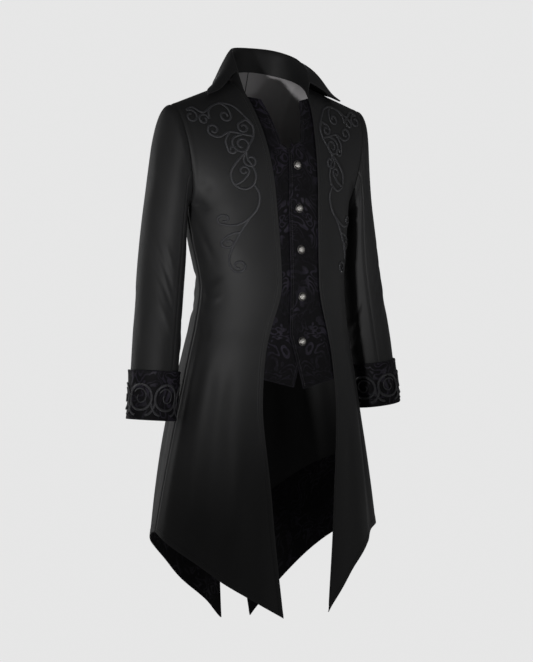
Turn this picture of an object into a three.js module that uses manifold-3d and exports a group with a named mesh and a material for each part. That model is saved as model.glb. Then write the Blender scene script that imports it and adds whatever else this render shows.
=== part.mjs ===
// A long tailcoat with a sewn-in waistcoat, filled out as if worn, with no wearer.
// Millimetres, +Z up. The front faces -Y and the wearer's left is +X. The origin lies between
// the shoulders, at the height of the sleeve heads, where a wearer's shoulders carry the coat.

import * as THREE from 'three';
import { mergeVertices } from 'three/addons/utils/BufferGeometryUtils.js';
import Module from 'manifold-3d';

const wasm = await Module();
wasm.setup();

// Cloth and seams
const COAT_WALL = 2.0;
const WAISTCOAT_WALL = 1.6;
const LINING_WALL = 1.2;
const COLLAR_WALL = 2.4;
const CUFF_WALL = 2.4;
const SEAM_GAP = 0.3;

// Shoulders: the ridge runs from the neck point to the sleeve head
const RIDGE_Y = -3;
const SHOULDER_X = 218;
const NECK_X = 78;
const NECK_Z = 50;
const NAPE_Y = 62;
const NAPE_Z = 74;
const RIDGE_CENTRE_Z = (NECK_Z * SHOULDER_X) / (SHOULDER_X - NECK_X);

// Armhole: an upright loop, its top at the sleeve head and its foot at the armpit
const ARMPIT_X = 184;
const ARMPIT_Z = -200;
const ARMHOLE_FRONT = 45;
const ARMHOLE_BACK = 48;

// Torso rings from the armpit down: half width, the side seam's place, centre front and centre back
const BODY_RINGS = [
  { z: -200, halfWidth: 184, sideY: -3, frontY: -125, backY: 116 },
  { z: -271, halfWidth: 173, sideY: -9, frontY: -131, backY: 97 },
  { z: -355, halfWidth: 162, sideY: -19, frontY: -136, backY: 85 },
  { z: -435, halfWidth: 172, sideY: -16, frontY: -135, backY: 108 },
  { z: -485, halfWidth: 182, sideY: -12, frontY: -137, backY: 122 },
  { z: -620, halfWidth: 209, sideY: -4, frontY: -142, backY: 156 },
  { z: -760, halfWidth: 237, sideY: 2, frontY: -148, backY: 156 },
  { z: -856, halfWidth: 254, sideY: 6, frontY: -151, backY: 140 },
  { z: -1030, halfWidth: 284, sideY: 8, frontY: -157, backY: 106 },
];

// Front edge of the coat, from the neck point down to the front tail
const FRONT_EDGE = [
  { z: 50, x: 78 },
  { z: 8, x: 71 },
  { z: -74, x: 58 },
  { z: -190, x: 49 },
  { z: -350, x: 44 },
  { z: -388, x: 50 },
  { z: -439, x: 66 },
  { z: -486, x: 77 },
  { z: -560, x: 85 },
  { z: -620, x: 86 },
  { z: -756, x: 75 },
  { z: -856, x: 68 },
  { z: -1000, x: 54 },
];

// Pointed hems: height at the tail's tip and at the side seam, and how fast the hem rises
const SIDE_HEM_Z = -837;
const FRONT_TIP_Z = { right: -1004, left: -998 };
const FRONT_HEM_CURVE = { right: 1.35, left: 3.4 };
const BACK_TIP_Z = -1029;
const BACK_HEM_CURVE = 1.95;
const VENT_TOP_Z = -520;
const VENT_HALF_OPEN = 34;

// Soft folds that grow from the hips to the hem
const FOLD_TOP_Z = -430;
const FOLD_FULL_Z = -860;
const FOLDS = [
  { perTurn: 9, phase: 0.6, depth: 2.6 },
  { perTurn: 14, phase: 2.1, depth: 1.8 },
];

// Sleeve rings from the armhole to the wrist: outer and inner edge, depth of half the ring
const SLEEVE_RINGS = [
  { outerX: 218, outerZ: 0, innerX: 184, innerZ: -200, halfY: 45, centreY: -3 },
  { outerX: 226, outerZ: -3, innerX: 185.5, innerZ: -203, halfY: 49, centreY: -1 },
  { outerX: 233, outerZ: -14, innerX: 187.5, innerZ: -208, halfY: 52, centreY: 1 },
  { outerX: 239, outerZ: -36, innerX: 189, innerZ: -215, halfY: 54, centreY: 4 },
  { outerX: 245, outerZ: -72, innerX: 189.5, innerZ: -224, halfY: 56, centreY: 7 },
  { outerX: 251, outerZ: -114, innerX: 189, innerZ: -236, halfY: 57, centreY: 9 },
  { outerX: 257, outerZ: -159, innerX: 188, innerZ: -252, halfY: 57, centreY: 11 },
  { outerX: 263, outerZ: -206, innerX: 187, innerZ: -272, halfY: 57, centreY: 13 },
  { outerX: 268, outerZ: -254, innerX: 186.5, innerZ: -296, halfY: 57, centreY: 14 },
  { outerX: 274, outerZ: -304, innerX: 188, innerZ: -326, halfY: 56, centreY: 14 },
  { outerX: 280, outerZ: -354, innerX: 192, innerZ: -364, halfY: 55, centreY: 12 },
  { outerX: 286, outerZ: -404, innerX: 197, innerZ: -406, halfY: 54, centreY: 9 },
  { outerX: 293, outerZ: -454, innerX: 203, innerZ: -454, halfY: 52, centreY: 4 },
  { outerX: 300, outerZ: -504, innerX: 209, innerZ: -504, halfY: 50, centreY: -1 },
  { outerX: 306, outerZ: -554, innerX: 215, innerZ: -554, halfY: 48, centreY: -5 },
  { outerX: 311, outerZ: -606, innerX: 221, innerZ: -606, halfY: 47, centreY: -8 },
];
const SLEEVE_UNDER_ANGLE = 1.85;
const CUFF_RINGS = [
  { outerX: 307, innerX: 206, z: -520, halfY: 53, centreY: -2 },
  { outerX: 310, innerX: 211, z: -552, halfY: 52, centreY: -5 },
  { outerX: 314, innerX: 216, z: -588, halfY: 51, centreY: -7 },
  { outerX: 316, innerX: 219, z: -616, halfY: 50, centreY: -8 },
];
const ARM_RAISE = { right: 0, left: 11 };
const CUFF_TILT = { right: 3, left: 7 };
const WRIST_LIFT = { right: 0, left: 7 };
const WRIST_LIFT_Z = [-540, -616];
const UPPER_ARM_BACK = { right: 0, left: 13 };
const ELBOW_Z = -330;
const SLEEVE_SHIFT = 0.5;

// Waistcoat: the lap edge's place across the centre line at each height, on its own side's count
const WAISTCOAT_LEFT_EDGE = [
  { z: 14, x: 45 },
  { z: -30, x: 31 },
  { z: -68, x: 21 },
  { z: -84, x: -14 },
  { z: -200, x: -21 },
  { z: -450, x: -25 },
  { z: -557, x: 2 },
];
const WAISTCOAT_RIGHT_EDGE = [
  { z: 16, x: 46 },
  { z: -30, x: 35 },
  { z: -76, x: 26 },
  { z: -90, x: 4 },
  { z: -120, x: -12 },
  { z: -460, x: -12 },
  { z: -554, x: 18 },
];
const WAISTCOAT_UNDER_COAT = 30;
const WAISTCOAT_TOP_RISE = 12;
const WAISTCOAT_BOTTOM_RISE = 24;
const BUTTON_HEIGHTS = [-118, -203, -284, -376, -464];
const BUTTON_RADIUS = 8.6;
const BUTTON_DOME = 5.2;
const BUTTON_X = 2;
const BUTTON_PROFILE = [
  { out: 0, up: 0 },
  { out: 0.8, up: 0 },
  { out: 1, up: 0.21 },
  { out: 0.97, up: 0.42 },
  { out: 0.72, up: 0.78 },
  { out: 0.38, up: 0.95 },
  { out: 0, up: 1 },
];

// Collar: seam, fold and leaf edge, from the front end round to the nape, on each side's own count
const COLLAR_RIGHT = [
  { seam: [75, -44, 27], fold: [77, -24, 64], leaf: [159, -40, 14] },
  { seam: [78, -24, 40], fold: [76, -12, 83], leaf: [138, -12, 29] },
  { seam: [79, 0, 51], fold: [69, 8, 100], leaf: [112, 17, 41] },
  { seam: [70, 27, 60], fold: [56, 31, 111], leaf: [92, 46, 50] },
  { seam: [48, 50, 69], fold: [36, 49, 116], leaf: [60, 75, 56] },
];
const COLLAR_LEFT = [
  { seam: [75, -44, 27], fold: [81, -40, 46], leaf: [158, -38, 11] },
  { seam: [78, -24, 40], fold: [84, -20, 74], leaf: [149, -8, 35] },
  { seam: [79, 0, 51], fold: [79, 2, 94], leaf: [131, 20, 48] },
  { seam: [70, 27, 60], fold: [67, 30, 107], leaf: [104, 50, 60] },
  { seam: [48, 50, 69], fold: [43, 50, 115], leaf: [64, 77, 60] },
];
const COLLAR_NAPE = { seam: [0, 62, 75], fold: [0, 61, 118], leaf: [0, 92, 60] };
const COLLAR_ROLL = 5;
const COLLAR_CAMBER = { right: 0, left: 14 };
const COLLAR_RISE = 4;

// Level 0 is the shoulder seam and level 1 the armpit ring; below that a level is 100 mm
const LEVEL_DROP = 100;
const FRONT_FULLNESS = 1.15;
const RIDGE_EASE = 20;
const ARM_SHARE = 0.3;
const SHOULDER_SPREAD = 0.5;

// Layers under the coat's front and back
const LAYER_GAP = 1.3;
const UNDER_COAT = COAT_WALL + LAYER_GAP;
const LAP_UNDER = WAISTCOAT_WALL + LAYER_GAP;
const LAP_BLEND_START = 0.42;
const LAP_BLEND_END = 0.62;
const LINING_ROWS = 10;
const UNDER_BACK = COAT_WALL + 2 * SEAM_GAP;
const FACING_ROWS = 4;

// Cord scrollwork: strokes drawn on the chest by distance from the centre line and height.
// A stroke runs through its points, and its last point winds into a curl round the curl's centre.
const CORD_WIDTH = 4.8;
const CORD_RISE = 2.2;
const CORD_STEP = 8;
const CUFF_CORD_STEP = 11;
const CORD_LIFT = 0.9;
const CHEST_STROKES = [
  { points: [[92, -20], [108, -2], [130, 3], [150, -4], [170, -16], [188, -6], [200, -12]],
    curl: [194, -24], hand: 1 },
  { points: [[150, -4], [158, -14], [160, -28]], curl: [171, -30], hand: -1 },
  { points: [[130, 3], [120, -6], [117, -18]], curl: [128, -22], hand: 1 },
  { points: [[92, -20], [80, -40], [82, -62], [96, -84], [106, -104]], curl: [94, -110], hand: -1 },
  { points: [[80, -40], [90, -30], [100, -34]], curl: [98, -45], hand: -1 },
  { points: [[82, -62], [102, -58], [126, -54], [146, -64], [158, -62]], curl: [156, -50], hand: 1 },
  { points: [[102, -58], [120, -66], [124, -78], [116, -90]], curl: [106, -78], hand: -1 },
  { points: [[126, -54], [136, -72], [134, -86]], curl: [125, -88], hand: -1 },
  { points: [[100, -92], [122, -116], [132, -136], [126, -158], [108, -166], [92, -156],
    [87, -138], [92, -120], [100, -104], [100, -92]] },
  { points: [[126, -158], [112, -150], [102, -138]], curl: [108, -130], hand: -1 },
  { points: [[92, -156], [83, -176], [86, -200], [102, -222], [124, -236], [142, -236]],
    curl: [144, -225], hand: 1 },
  { points: [[102, -222], [118, -250], [132, -284], [136, -306], [128, -326]],
    curl: [121, -316], hand: -1 },
  { points: [[118, -250], [132, -254], [144, -264]], curl: [137, -272], hand: -1 },
];
const CURL_TURNS = 1.15;
const CURL_CORE = 0.34;

// Cuff loops, counted round the cuff and down from its top
const CUFF_LOOPS = 6;
const CUFF_LOOP_RADIUS = 23;
const CUFF_LOOP_DROP = 50;
const CUFF_GIRTH = 318;

const COLOURS = {
  coat: 0x17171a,
  jacquard: 0x15131c,
  lining: 0x3b3b3e,
  cord: 0x101014,
  metal: 0x8d8c88,
};

function smoothAt(rows, column, z) {
  const last = rows.length - 1;
  let i = 0;
  while (i < last - 1 && rows[i + 1].z > z) {
    i += 1;
  }
  const slopeAt = (k) => {
    const a = rows[Math.max(k - 1, 0)];
    const b = rows[Math.min(k + 1, last)];
    return (b[column] - a[column]) / (b.z - a.z);
  };
  const span = rows[i + 1].z - rows[i].z;
  const t = THREE.MathUtils.clamp((z - rows[i].z) / span, 0, 1);
  const h = t * t * (3 - 2 * t);
  const rise = t * (1 - t) * (1 - t) * slopeAt(i) * span;
  const fall = t * t * (1 - t) * slopeAt(i + 1) * span;
  return rows[i][column] * (1 - h) + rows[i + 1][column] * h + rise - fall;
}

function lineAt(rows, column, z) {
  let i = 0;
  while (i < rows.length - 2 && rows[i + 1].z > z) {
    i += 1;
  }
  const t = THREE.MathUtils.clamp((z - rows[i].z) / (rows[i + 1].z - rows[i].z), 0, 1);
  return THREE.MathUtils.lerp(rows[i][column], rows[i + 1][column], t);
}

function bodyRing(z) {
  return {
    halfWidth: smoothAt(BODY_RINGS, 'halfWidth', z),
    sideY: smoothAt(BODY_RINGS, 'sideY', z),
    frontY: smoothAt(BODY_RINGS, 'frontY', z),
    backY: smoothAt(BODY_RINGS, 'backY', z),
  };
}

// Armhole point: angle 0 at the sleeve head, half a turn at the armpit
function armhole(angle, depth) {
  const middleX = (SHOULDER_X + ARMPIT_X) / 2;
  const reachX = (SHOULDER_X - ARMPIT_X) / 2;
  return new THREE.Vector3(
    middleX + reachX * Math.cos(angle),
    RIDGE_Y + depth * Math.sin(angle),
    (ARMPIT_Z / 2) * (1 - Math.cos(angle)),
  );
}

function frontLevel(level) {
  if (level >= 1) {
    const z = ARMPIT_Z - (level - 1) * LEVEL_DROP;
    const ring = bodyRing(z);
    const arm = new THREE.Vector3(ring.halfWidth, ring.sideY, z);
    return { middleZ: z, middleY: ring.frontY, arm, axisY: ring.sideY };
  }
  const turn = (level * Math.PI) / 2;
  const chestY = BODY_RINGS[0].frontY;
  return {
    middleZ: ARMPIT_Z + (RIDGE_CENTRE_Z - ARMPIT_Z) * Math.cos(turn),
    middleY: RIDGE_Y + (chestY - RIDGE_Y) * Math.sin(turn) ** FRONT_FULLNESS,
    arm: armhole(level * Math.PI, -ARMHOLE_FRONT),
    axisY: RIDGE_Y + RIDGE_EASE * (1 - level),
  };
}

// Point of the chest or front skirt at a level and a distance x from the centre line
function frontAtLevel(level, x) {
  const row = frontLevel(level);
  const share = Math.min((x / row.arm.x) ** 2, 1);
  const middle = (row.axisY - row.middleY) ** 2;
  const side = (row.axisY - row.arm.y) ** 2;
  const y = row.axisY - Math.sqrt(THREE.MathUtils.lerp(middle, side, share));
  const z = THREE.MathUtils.lerp(row.middleZ, row.arm.z, Math.min(Math.abs(x) / row.arm.x, 1));
  return new THREE.Vector3(x, y, z);
}

// Point of the same surface found by its height
function frontAt(x, z) {
  if (z < ARMPIT_Z) {
    return frontAtLevel(1 + (ARMPIT_Z - z) / LEVEL_DROP, x);
  }
  let high = 0;
  let low = 1;
  for (let i = 0; i < 24; i += 1) {
    const middle = (high + low) / 2;
    if (frontAtLevel(middle, x).z > z) {
      high = middle;
    } else {
      low = middle;
    }
  }
  return frontAtLevel((high + low) / 2, x);
}

function skirtFold(point) {
  const grown = THREE.MathUtils.smoothstep(-point.z, -FOLD_TOP_Z, -FOLD_FULL_Z);
  if (grown === 0) {
    return point;
  }
  const angle = Math.atan2(point.y, point.x);
  let depth = 0;
  for (const fold of FOLDS) {
    depth += fold.depth * Math.cos(fold.perTurn * angle + fold.phase);
  }
  const out = new THREE.Vector3(point.x, point.y, 0).normalize();
  return point.addScaledVector(out, depth * grown);
}

// Height of a panel's point: the first share of its length is the armhole's, the rest hangs to the hem
function levelOf(along, hemZ) {
  if (along < ARM_SHARE) {
    return along / ARM_SHARE;
  }
  const below = (along - ARM_SHARE) / (1 - ARM_SHARE);
  return 1 + (below * (ARMPIT_Z - hemZ)) / LEVEL_DROP;
}

function edgeX(level) {
  let x = SHOULDER_X / 3;
  for (let i = 0; i < 4; i += 1) {
    x = smoothAt(FRONT_EDGE, 'x', frontAtLevel(level, x).z);
  }
  return x;
}

function frontHem(across, word) {
  const rise = 1 - (1 - across) ** FRONT_HEM_CURVE[word];
  return THREE.MathUtils.lerp(FRONT_TIP_Z[word], SIDE_HEM_Z, rise);
}

function backHem(across) {
  const rise = 1 - (1 - across) ** BACK_HEM_CURVE;
  return THREE.MathUtils.lerp(BACK_TIP_Z, SIDE_HEM_Z, rise);
}

// Coat front, counted on the +X side: across runs from the front edge to the armhole and side seam
function coatFront(across, along, word) {
  const level = levelOf(along, frontHem(across, word));
  const row = frontLevel(level);
  const spread = (Math.PI / 2) * THREE.MathUtils.lerp(SHOULDER_SPREAD, 1, Math.min(level, 1));
  const start = Math.asin((edgeX(level) / row.arm.x) * Math.sin(spread));
  const turn = THREE.MathUtils.lerp(start, spread, across);
  const x = (row.arm.x * Math.sin(turn)) / Math.sin(spread);
  return skirtFold(frontAtLevel(level, x));
}

const NECK_SHARE = NECK_X / SHOULDER_X;

function backTop(across) {
  const x = SHOULDER_X * across;
  if (across < NECK_SHARE) {
    const round = Math.sqrt(1 - (x / NECK_X) ** 2);
    const y = THREE.MathUtils.lerp(RIDGE_Y, NAPE_Y, round);
    return new THREE.Vector3(x, y, THREE.MathUtils.lerp(NECK_Z, NAPE_Z, round));
  }
  return new THREE.Vector3(x, RIDGE_Y, RIDGE_CENTRE_Z * (1 - x / SHOULDER_X));
}

// Upper back, from the neck and shoulder seam to the armpit ring
function upperBack(across, level) {
  const top = backTop(across);
  const ring = bodyRing(ARMPIT_Z);
  const turn = (level * Math.PI) / 2;
  const ringX = ring.halfWidth * Math.sin((across * Math.PI) / 2);
  const ringY = ring.sideY + (ring.backY - ring.sideY) * Math.cos((across * Math.PI) / 2);
  const steep = Math.max(1 - (across / NECK_SHARE) ** 2, 0);
  const stay = THREE.MathUtils.lerp(Math.cos(turn), 1 - level, steep);
  const point = new THREE.Vector3(
    THREE.MathUtils.lerp(top.x, ringX, level),
    THREE.MathUtils.lerp(top.y, ringY, Math.sin(turn)),
    ARMPIT_Z + (top.z - ARMPIT_Z) * stay,
  );
  const arm = armhole(level * Math.PI, ARMHOLE_BACK);
  const plain = new THREE.Vector3(
    THREE.MathUtils.lerp(SHOULDER_X, ARMPIT_X, level),
    RIDGE_Y,
    ARMPIT_Z * (1 - Math.cos(turn)),
  );
  return point.addScaledVector(arm.sub(plain), across ** 3);
}

function ventX(z) {
  const open = THREE.MathUtils.clamp((VENT_TOP_Z - z) / (VENT_TOP_Z - BACK_TIP_Z), 0, 1);
  return VENT_HALF_OPEN * open;
}

// Coat back, counted on the +X side: across runs from the centre seam to the armhole and side seam
function coatBack(across, along) {
  const level = levelOf(along, backHem(across));
  if (level <= 1) {
    return upperBack(across, level);
  }
  const z = ARMPIT_Z - (level - 1) * LEVEL_DROP;
  const ring = bodyRing(z);
  const start = Math.asin(ventX(z) / ring.halfWidth);
  const turn = THREE.MathUtils.lerp(start, Math.PI / 2, across);
  const x = ring.halfWidth * Math.sin(turn);
  const y = ring.sideY + (ring.backY - ring.sideY) * Math.cos(turn);
  return skirtFold(new THREE.Vector3(x, y, z));
}

function surfaceNormal(surface, u, v) {
  const step = 0.004;
  const a = surface(Math.min(u + step, 1), v).sub(surface(Math.max(u - step, 0), v));
  const b = surface(u, Math.min(v + step, 1)).sub(surface(u, Math.max(v - step, 0)));
  return a.cross(b).normalize();
}

function evenly(count) {
  return Array.from({ length: count }, (_, i) => i / (count - 1));
}

function closedGeometry(corners, triangles) {
  const positions = new Float32Array(corners.flatMap((p) => [p.x, p.y, p.z]));
  let volume = 0;
  for (const [a, b, c] of triangles) {
    volume += corners[a].dot(new THREE.Vector3().crossVectors(corners[b], corners[c]));
  }
  const outward = volume > 0 ? triangles : triangles.map(([a, b, c]) => [a, c, b]);
  const geometry = new THREE.BufferGeometry();
  geometry.setAttribute('position', new THREE.BufferAttribute(positions, 3));
  geometry.setIndex(outward.flat());
  return geometry;
}

// A cloth wall: a grid of outer points, a grid of inner points, and the four edges between them
function wallFromGrids(outer, inner, wraps) {
  const rows = outer.length;
  const columns = outer[0].length;
  const corners = [...outer.flat(), ...inner.flat()];
  const at = (layer, r, c) => layer * rows * columns + r * columns + (c % columns);
  const triangles = [];
  const quad = (a, b, c, d) => triangles.push([a, b, c], [a, c, d]);
  const lastColumn = wraps ? columns : columns - 1;
  for (let r = 0; r < rows - 1; r += 1) {
    for (let c = 0; c < lastColumn; c += 1) {
      quad(at(0, r, c), at(0, r + 1, c), at(0, r + 1, c + 1), at(0, r, c + 1));
      triangles.push([at(1, r, c), at(1, r + 1, c + 1), at(1, r + 1, c)]);
      triangles.push([at(1, r, c), at(1, r, c + 1), at(1, r + 1, c + 1)]);
    }
  }
  for (let c = 0; c < lastColumn; c += 1) {
    quad(at(0, 0, c), at(0, 0, c + 1), at(1, 0, c + 1), at(1, 0, c));
    quad(at(0, rows - 1, c + 1), at(0, rows - 1, c), at(1, rows - 1, c), at(1, rows - 1, c + 1));
  }
  if (!wraps) {
    for (let r = 0; r < rows - 1; r += 1) {
      quad(at(0, r + 1, 0), at(0, r, 0), at(1, r, 0), at(1, r + 1, 0));
      quad(at(0, r, lastColumn), at(0, r + 1, lastColumn), at(1, r + 1, lastColumn), at(1, r, lastColumn));
    }
  }
  return closedGeometry(corners, triangles);
}

// A wall on a surface: lift moves its outer face out from the surface, side mirrors it
function panel(surface, options) {
  const { columns, rows, wall, out, side = 1, shift = [0, 0, 0], wraps = false } = options;
  const liftAt = typeof options.lift === 'function' ? options.lift : () => options.lift ?? 0;
  const place = (u, v, depth) => {
    const point = surface(u, v).addScaledVector(surfaceNormal(surface, u, v), out * depth);
    return new THREE.Vector3(side * (point.x + shift[0]), point.y + shift[1], point.z + shift[2]);
  };
  const outer = rows.map((v) => columns.map((u) => place(u, v, liftAt(u, v))));
  const inner = rows.map((v) => columns.map((u) => place(u, v, liftAt(u, v) - wall)));
  return wallFromGrids(outer, inner, wraps);
}

function clothMaterial(colour, roughness = 0.8) {
  return new THREE.MeshStandardMaterial({ color: colour, roughness, metalness: 0 });
}

const tailcoat = new THREE.Group();

function add(name, geometry, material) {
  const mesh = new THREE.Mesh(geometry, material);
  mesh.name = name;
  tailcoat.add(mesh);
  return mesh;
}

const SIDES = [
  { word: 'right', sign: -1 },
  { word: 'left', sign: 1 },
];

const HALF_GAP = SEAM_GAP / 2;

function levelRows(above, below) {
  const upper = evenly(above + 1).map((t) => t * ARM_SHARE);
  const lower = evenly(below + 1).slice(1);
  return [...upper, ...lower.map((t) => ARM_SHARE + t * (1 - ARM_SHARE))];
}

const NECK_COLUMNS = [0, 0.45, 0.8, 1].map((t) => t * NECK_SHARE);
const SHOULDER_COLUMNS = evenly(7).slice(1).map((t) => NECK_SHARE + t * (1 - NECK_SHARE));
const BACK_COLUMNS = [...NECK_COLUMNS, ...SHOULDER_COLUMNS];
const BACK_ROWS = levelRows(7, 13);

function addCoatPanels(side) {
  const front = (across, along) => coatFront(across, along, side.word);
  add(`coat_front_${side.word}`, panel(front, {
    columns: evenly(10),
    rows: levelRows(8, 13),
    wall: COAT_WALL,
    out: -1,
    side: side.sign,
    shift: [0, -HALF_GAP, 0],
  }), clothMaterial(COLOURS.coat));
  add(`coat_back_${side.word}`, panel(coatBack, {
    columns: BACK_COLUMNS,
    rows: BACK_ROWS,
    wall: COAT_WALL,
    out: 1,
    side: side.sign,
    shift: [HALF_GAP, HALF_GAP, 0],
  }), clothMaterial(COLOURS.coat));
}

// Sleeve surface: around runs from the back seam over the arm to the front seam, then under it
function ringPoint(ring, angle) {
  const middleX = (ring.outerX + ring.innerX) / 2;
  const middleZ = (ring.outerZ + ring.innerZ) / 2;
  return new THREE.Vector3(
    middleX + ((ring.outerX - ring.innerX) / 2) * Math.cos(angle),
    ring.centreY - ring.halfY * Math.sin(angle),
    middleZ + ((ring.outerZ - ring.innerZ) / 2) * Math.cos(angle),
  );
}

// The two arms differ a little: one hangs further back at the top and higher at the wrist
function armPose(point, angle, word) {
  const wristZ = SLEEVE_RINGS.at(-1).outerZ;
  const low = THREE.MathUtils.smoothstep(-point.z, -ARMPIT_Z, -wristZ);
  const bend = Math.sin(Math.PI * THREE.MathUtils.clamp(point.z / ELBOW_Z, 0, 1)) ** 2;
  const cuffed = THREE.MathUtils.smoothstep(-point.z, -WRIST_LIFT_Z[0], -WRIST_LIFT_Z[1]);
  point.z += ARM_RAISE[word] * low + CUFF_TILT[word] * low * Math.cos(angle);
  point.z += WRIST_LIFT[word] * cuffed;
  point.y += UPPER_ARM_BACK[word] * bend * (1 + Math.cos(angle)) / 2;
  return point;
}

function ringsSurface(rings, startAngle, endAngle, word) {
  return (around, down) => {
    const place = down * (rings.length - 1);
    const i = Math.min(Math.floor(place), rings.length - 2);
    const angle = THREE.MathUtils.lerp(startAngle, endAngle, around);
    const point = ringPoint(rings[i], angle).lerp(ringPoint(rings[i + 1], angle), place - i);
    return armPose(point, angle, word);
  };
}

function addSleeve(side) {
  const trim = HALF_GAP / SLEEVE_RINGS[0].halfY;
  const upper = ringsSurface(
    SLEEVE_RINGS,
    -SLEEVE_UNDER_ANGLE + trim,
    SLEEVE_UNDER_ANGLE - trim,
    side.word,
  );
  const under = ringsSurface(
    SLEEVE_RINGS,
    SLEEVE_UNDER_ANGLE + trim,
    2 * Math.PI - SLEEVE_UNDER_ANGLE - trim,
    side.word,
  );
  const shared = {
    rows: evenly(SLEEVE_RINGS.length),
    wall: COAT_WALL,
    out: 1,
    side: side.sign,
    shift: [SLEEVE_SHIFT, 0, 0],
  };
  const material = () => clothMaterial(COLOURS.coat);
  add(`sleeve_upper_${side.word}`, panel(upper, { ...shared, columns: evenly(12) }), material());
  add(`sleeve_under_${side.word}`, panel(under, { ...shared, columns: evenly(9) }), material());
  addCuff(side);
}

function addCuff(side) {
  const rings = CUFF_RINGS.map((ring) => ({ ...ring, outerZ: ring.z, innerZ: ring.z }));
  const surface = ringsSurface(rings, 0, 2 * Math.PI, side.word);
  add(`cuff_${side.word}`, panel(surface, {
    columns: evenly(21).slice(0, -1),
    rows: evenly(5),
    wall: CUFF_WALL,
    out: 1,
    side: side.sign,
    shift: [SLEEVE_SHIFT, 0, 0],
    wraps: true,
  }), clothMaterial(COLOURS.jacquard, 0.7));
}

// Waistcoat front: across runs from the lap edge to under the coat's front edge
function waistcoatSurface(edge) {
  const top = edge[0].z;
  const bottom = edge.at(-1).z;
  return (across, down) => {
    const level = THREE.MathUtils.lerp(top, bottom, down);
    const innerX = lineAt(edge, 'x', level);
    const outerX = smoothAt(FRONT_EDGE, 'x', level) + WAISTCOAT_UNDER_COAT;
    const x = THREE.MathUtils.lerp(innerX, outerX, across);
    const rise = THREE.MathUtils.lerp(WAISTCOAT_TOP_RISE, WAISTCOAT_BOTTOM_RISE, down);
    const point = frontAt(Math.abs(x), level + rise * across * Math.abs(2 * down - 1) ** 3);
    point.x = x;
    return skirtFold(point);
  };
}

function addWaistcoat(side) {
  const right = side.sign < 0;
  const edge = right ? WAISTCOAT_RIGHT_EDGE : WAISTCOAT_LEFT_EDGE;
  const rows = right
    ? [0, 0.08, 0.161, 0.186, 0.239, 0.33, 0.42, 0.52, 0.62, 0.73, 0.835, 0.92, 1]
    : [0, 0.077, 0.1436, 0.1716, 0.24, 0.326, 0.42, 0.52, 0.62, 0.73, 0.8126, 0.91, 1];
  const sunk = (u) => {
    const lapped = 1 - THREE.MathUtils.smoothstep(u, LAP_BLEND_START, LAP_BLEND_END);
    return -UNDER_COAT - (right ? LAP_UNDER * lapped : 0);
  };
  return add(`waistcoat_front_${side.word}`, panel(waistcoatSurface(edge), {
    columns: evenly(9),
    rows,
    wall: WAISTCOAT_WALL,
    out: -1,
    lift: sunk,
    side: side.sign,
    shift: [0, -HALF_GAP, 0],
  }), clothMaterial(COLOURS.jacquard, 0.7));
}

// Dome button standing on the left waistcoat front, its axis square to the cloth
function addButton(z, number, cloth) {
  const profile = BUTTON_PROFILE.map(({ out, up }) => (
    new THREE.Vector2(BUTTON_RADIUS * out, BUTTON_DOME * up)
  ));
  const geometry = new THREE.LatheGeometry(profile, 16);
  geometry.deleteAttribute('normal');
  geometry.deleteAttribute('uv');
  const metal = new THREE.MeshStandardMaterial({
    color: COLOURS.metal,
    roughness: 0.38,
    metalness: 1,
  });
  const button = add(`button_${number}`, mergeVertices(geometry, 0.001), metal);
  const ray = new THREE.Raycaster();
  const clothPoint = (x, height) => {
    ray.set(new THREE.Vector3(x, 2 * BODY_RINGS[0].frontY, height), new THREE.Vector3(0, 1, 0));
    return ray.intersectObject(cloth)[0].point;
  };
  const middle = clothPoint(BUTTON_X, z);
  const above = clothPoint(BUTTON_X, z + BUTTON_RADIUS);
  const below = clothPoint(BUTTON_X, z - BUTTON_RADIUS);
  const before = clothPoint(BUTTON_X - BUTTON_RADIUS, z);
  const after = clothPoint(BUTTON_X + BUTTON_RADIUS, z);
  const out = after.clone().sub(before).cross(above.clone().sub(below)).normalize();
  const highest = Math.max(0, ...[above, below, before, after].map((p) => p.sub(middle).dot(out)));
  button.position.copy(middle).addScaledVector(out, highest + SEAM_GAP);
  button.quaternion.setFromUnitVectors(new THREE.Vector3(0, 1, 0), out);
}

// Collar: up from the neck seam inside, over the fold, and down to the leaf's edge
function collarCurve(name) {
  const left = COLLAR_LEFT.map((row) => new THREE.Vector3(...row[name]));
  const right = COLLAR_RIGHT.map(({ [name]: [x, y, z] }) => new THREE.Vector3(-x, y, z));
  const nape = new THREE.Vector3(...COLLAR_NAPE[name]);
  return new THREE.CatmullRomCurve3([...left, nape, ...right.reverse()], false, 'centripetal');
}

function addCollar() {
  const seam = collarCurve('seam');
  const fold = collarCurve('fold');
  const leaf = collarCurve('leaf');
  const surface = (around, over) => {
    const a = seam.getPoint(around);
    const b = fold.getPoint(around);
    const c = leaf.getPoint(around);
    const out = new THREE.Vector3(c.x - b.x, c.y - b.y, 0).normalize();
    const standTop = b.clone().addScaledVector(new THREE.Vector3(0, 0, -1), COLLAR_ROLL);
    const fallTop = b.clone().lerp(c, 0.1).addScaledVector(out, COLLAR_ROLL * 0.8);
    const leafMiddle = fallTop.clone().lerp(c, 0.5);
    leafMiddle.z += COLLAR_CAMBER[c.x > 0 ? 'left' : 'right'] * Math.sin(Math.PI * Math.min(around * 2, 1));
    const path = new THREE.CatmullRomCurve3([
      a,
      a.clone().lerp(standTop, 0.55),
      standTop,
      b.clone().addScaledVector(out, COLLAR_ROLL * 0.35),
      fallTop,
      leafMiddle,
      c,
    ], false, 'centripetal');
    return path.getPoint(over);
  };
  add('collar', panel(surface, {
    columns: evenly(25),
    rows: [0, 0.17, 0.32, 0.42, 0.5, 0.58, 0.72, 0.86, 1],
    wall: COLLAR_WALL,
    out: 1,
    lift: COLLAR_WALL / 2,
    shift: [0, 0, COLLAR_RISE],
  }), clothMaterial(COLOURS.coat));
}

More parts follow.
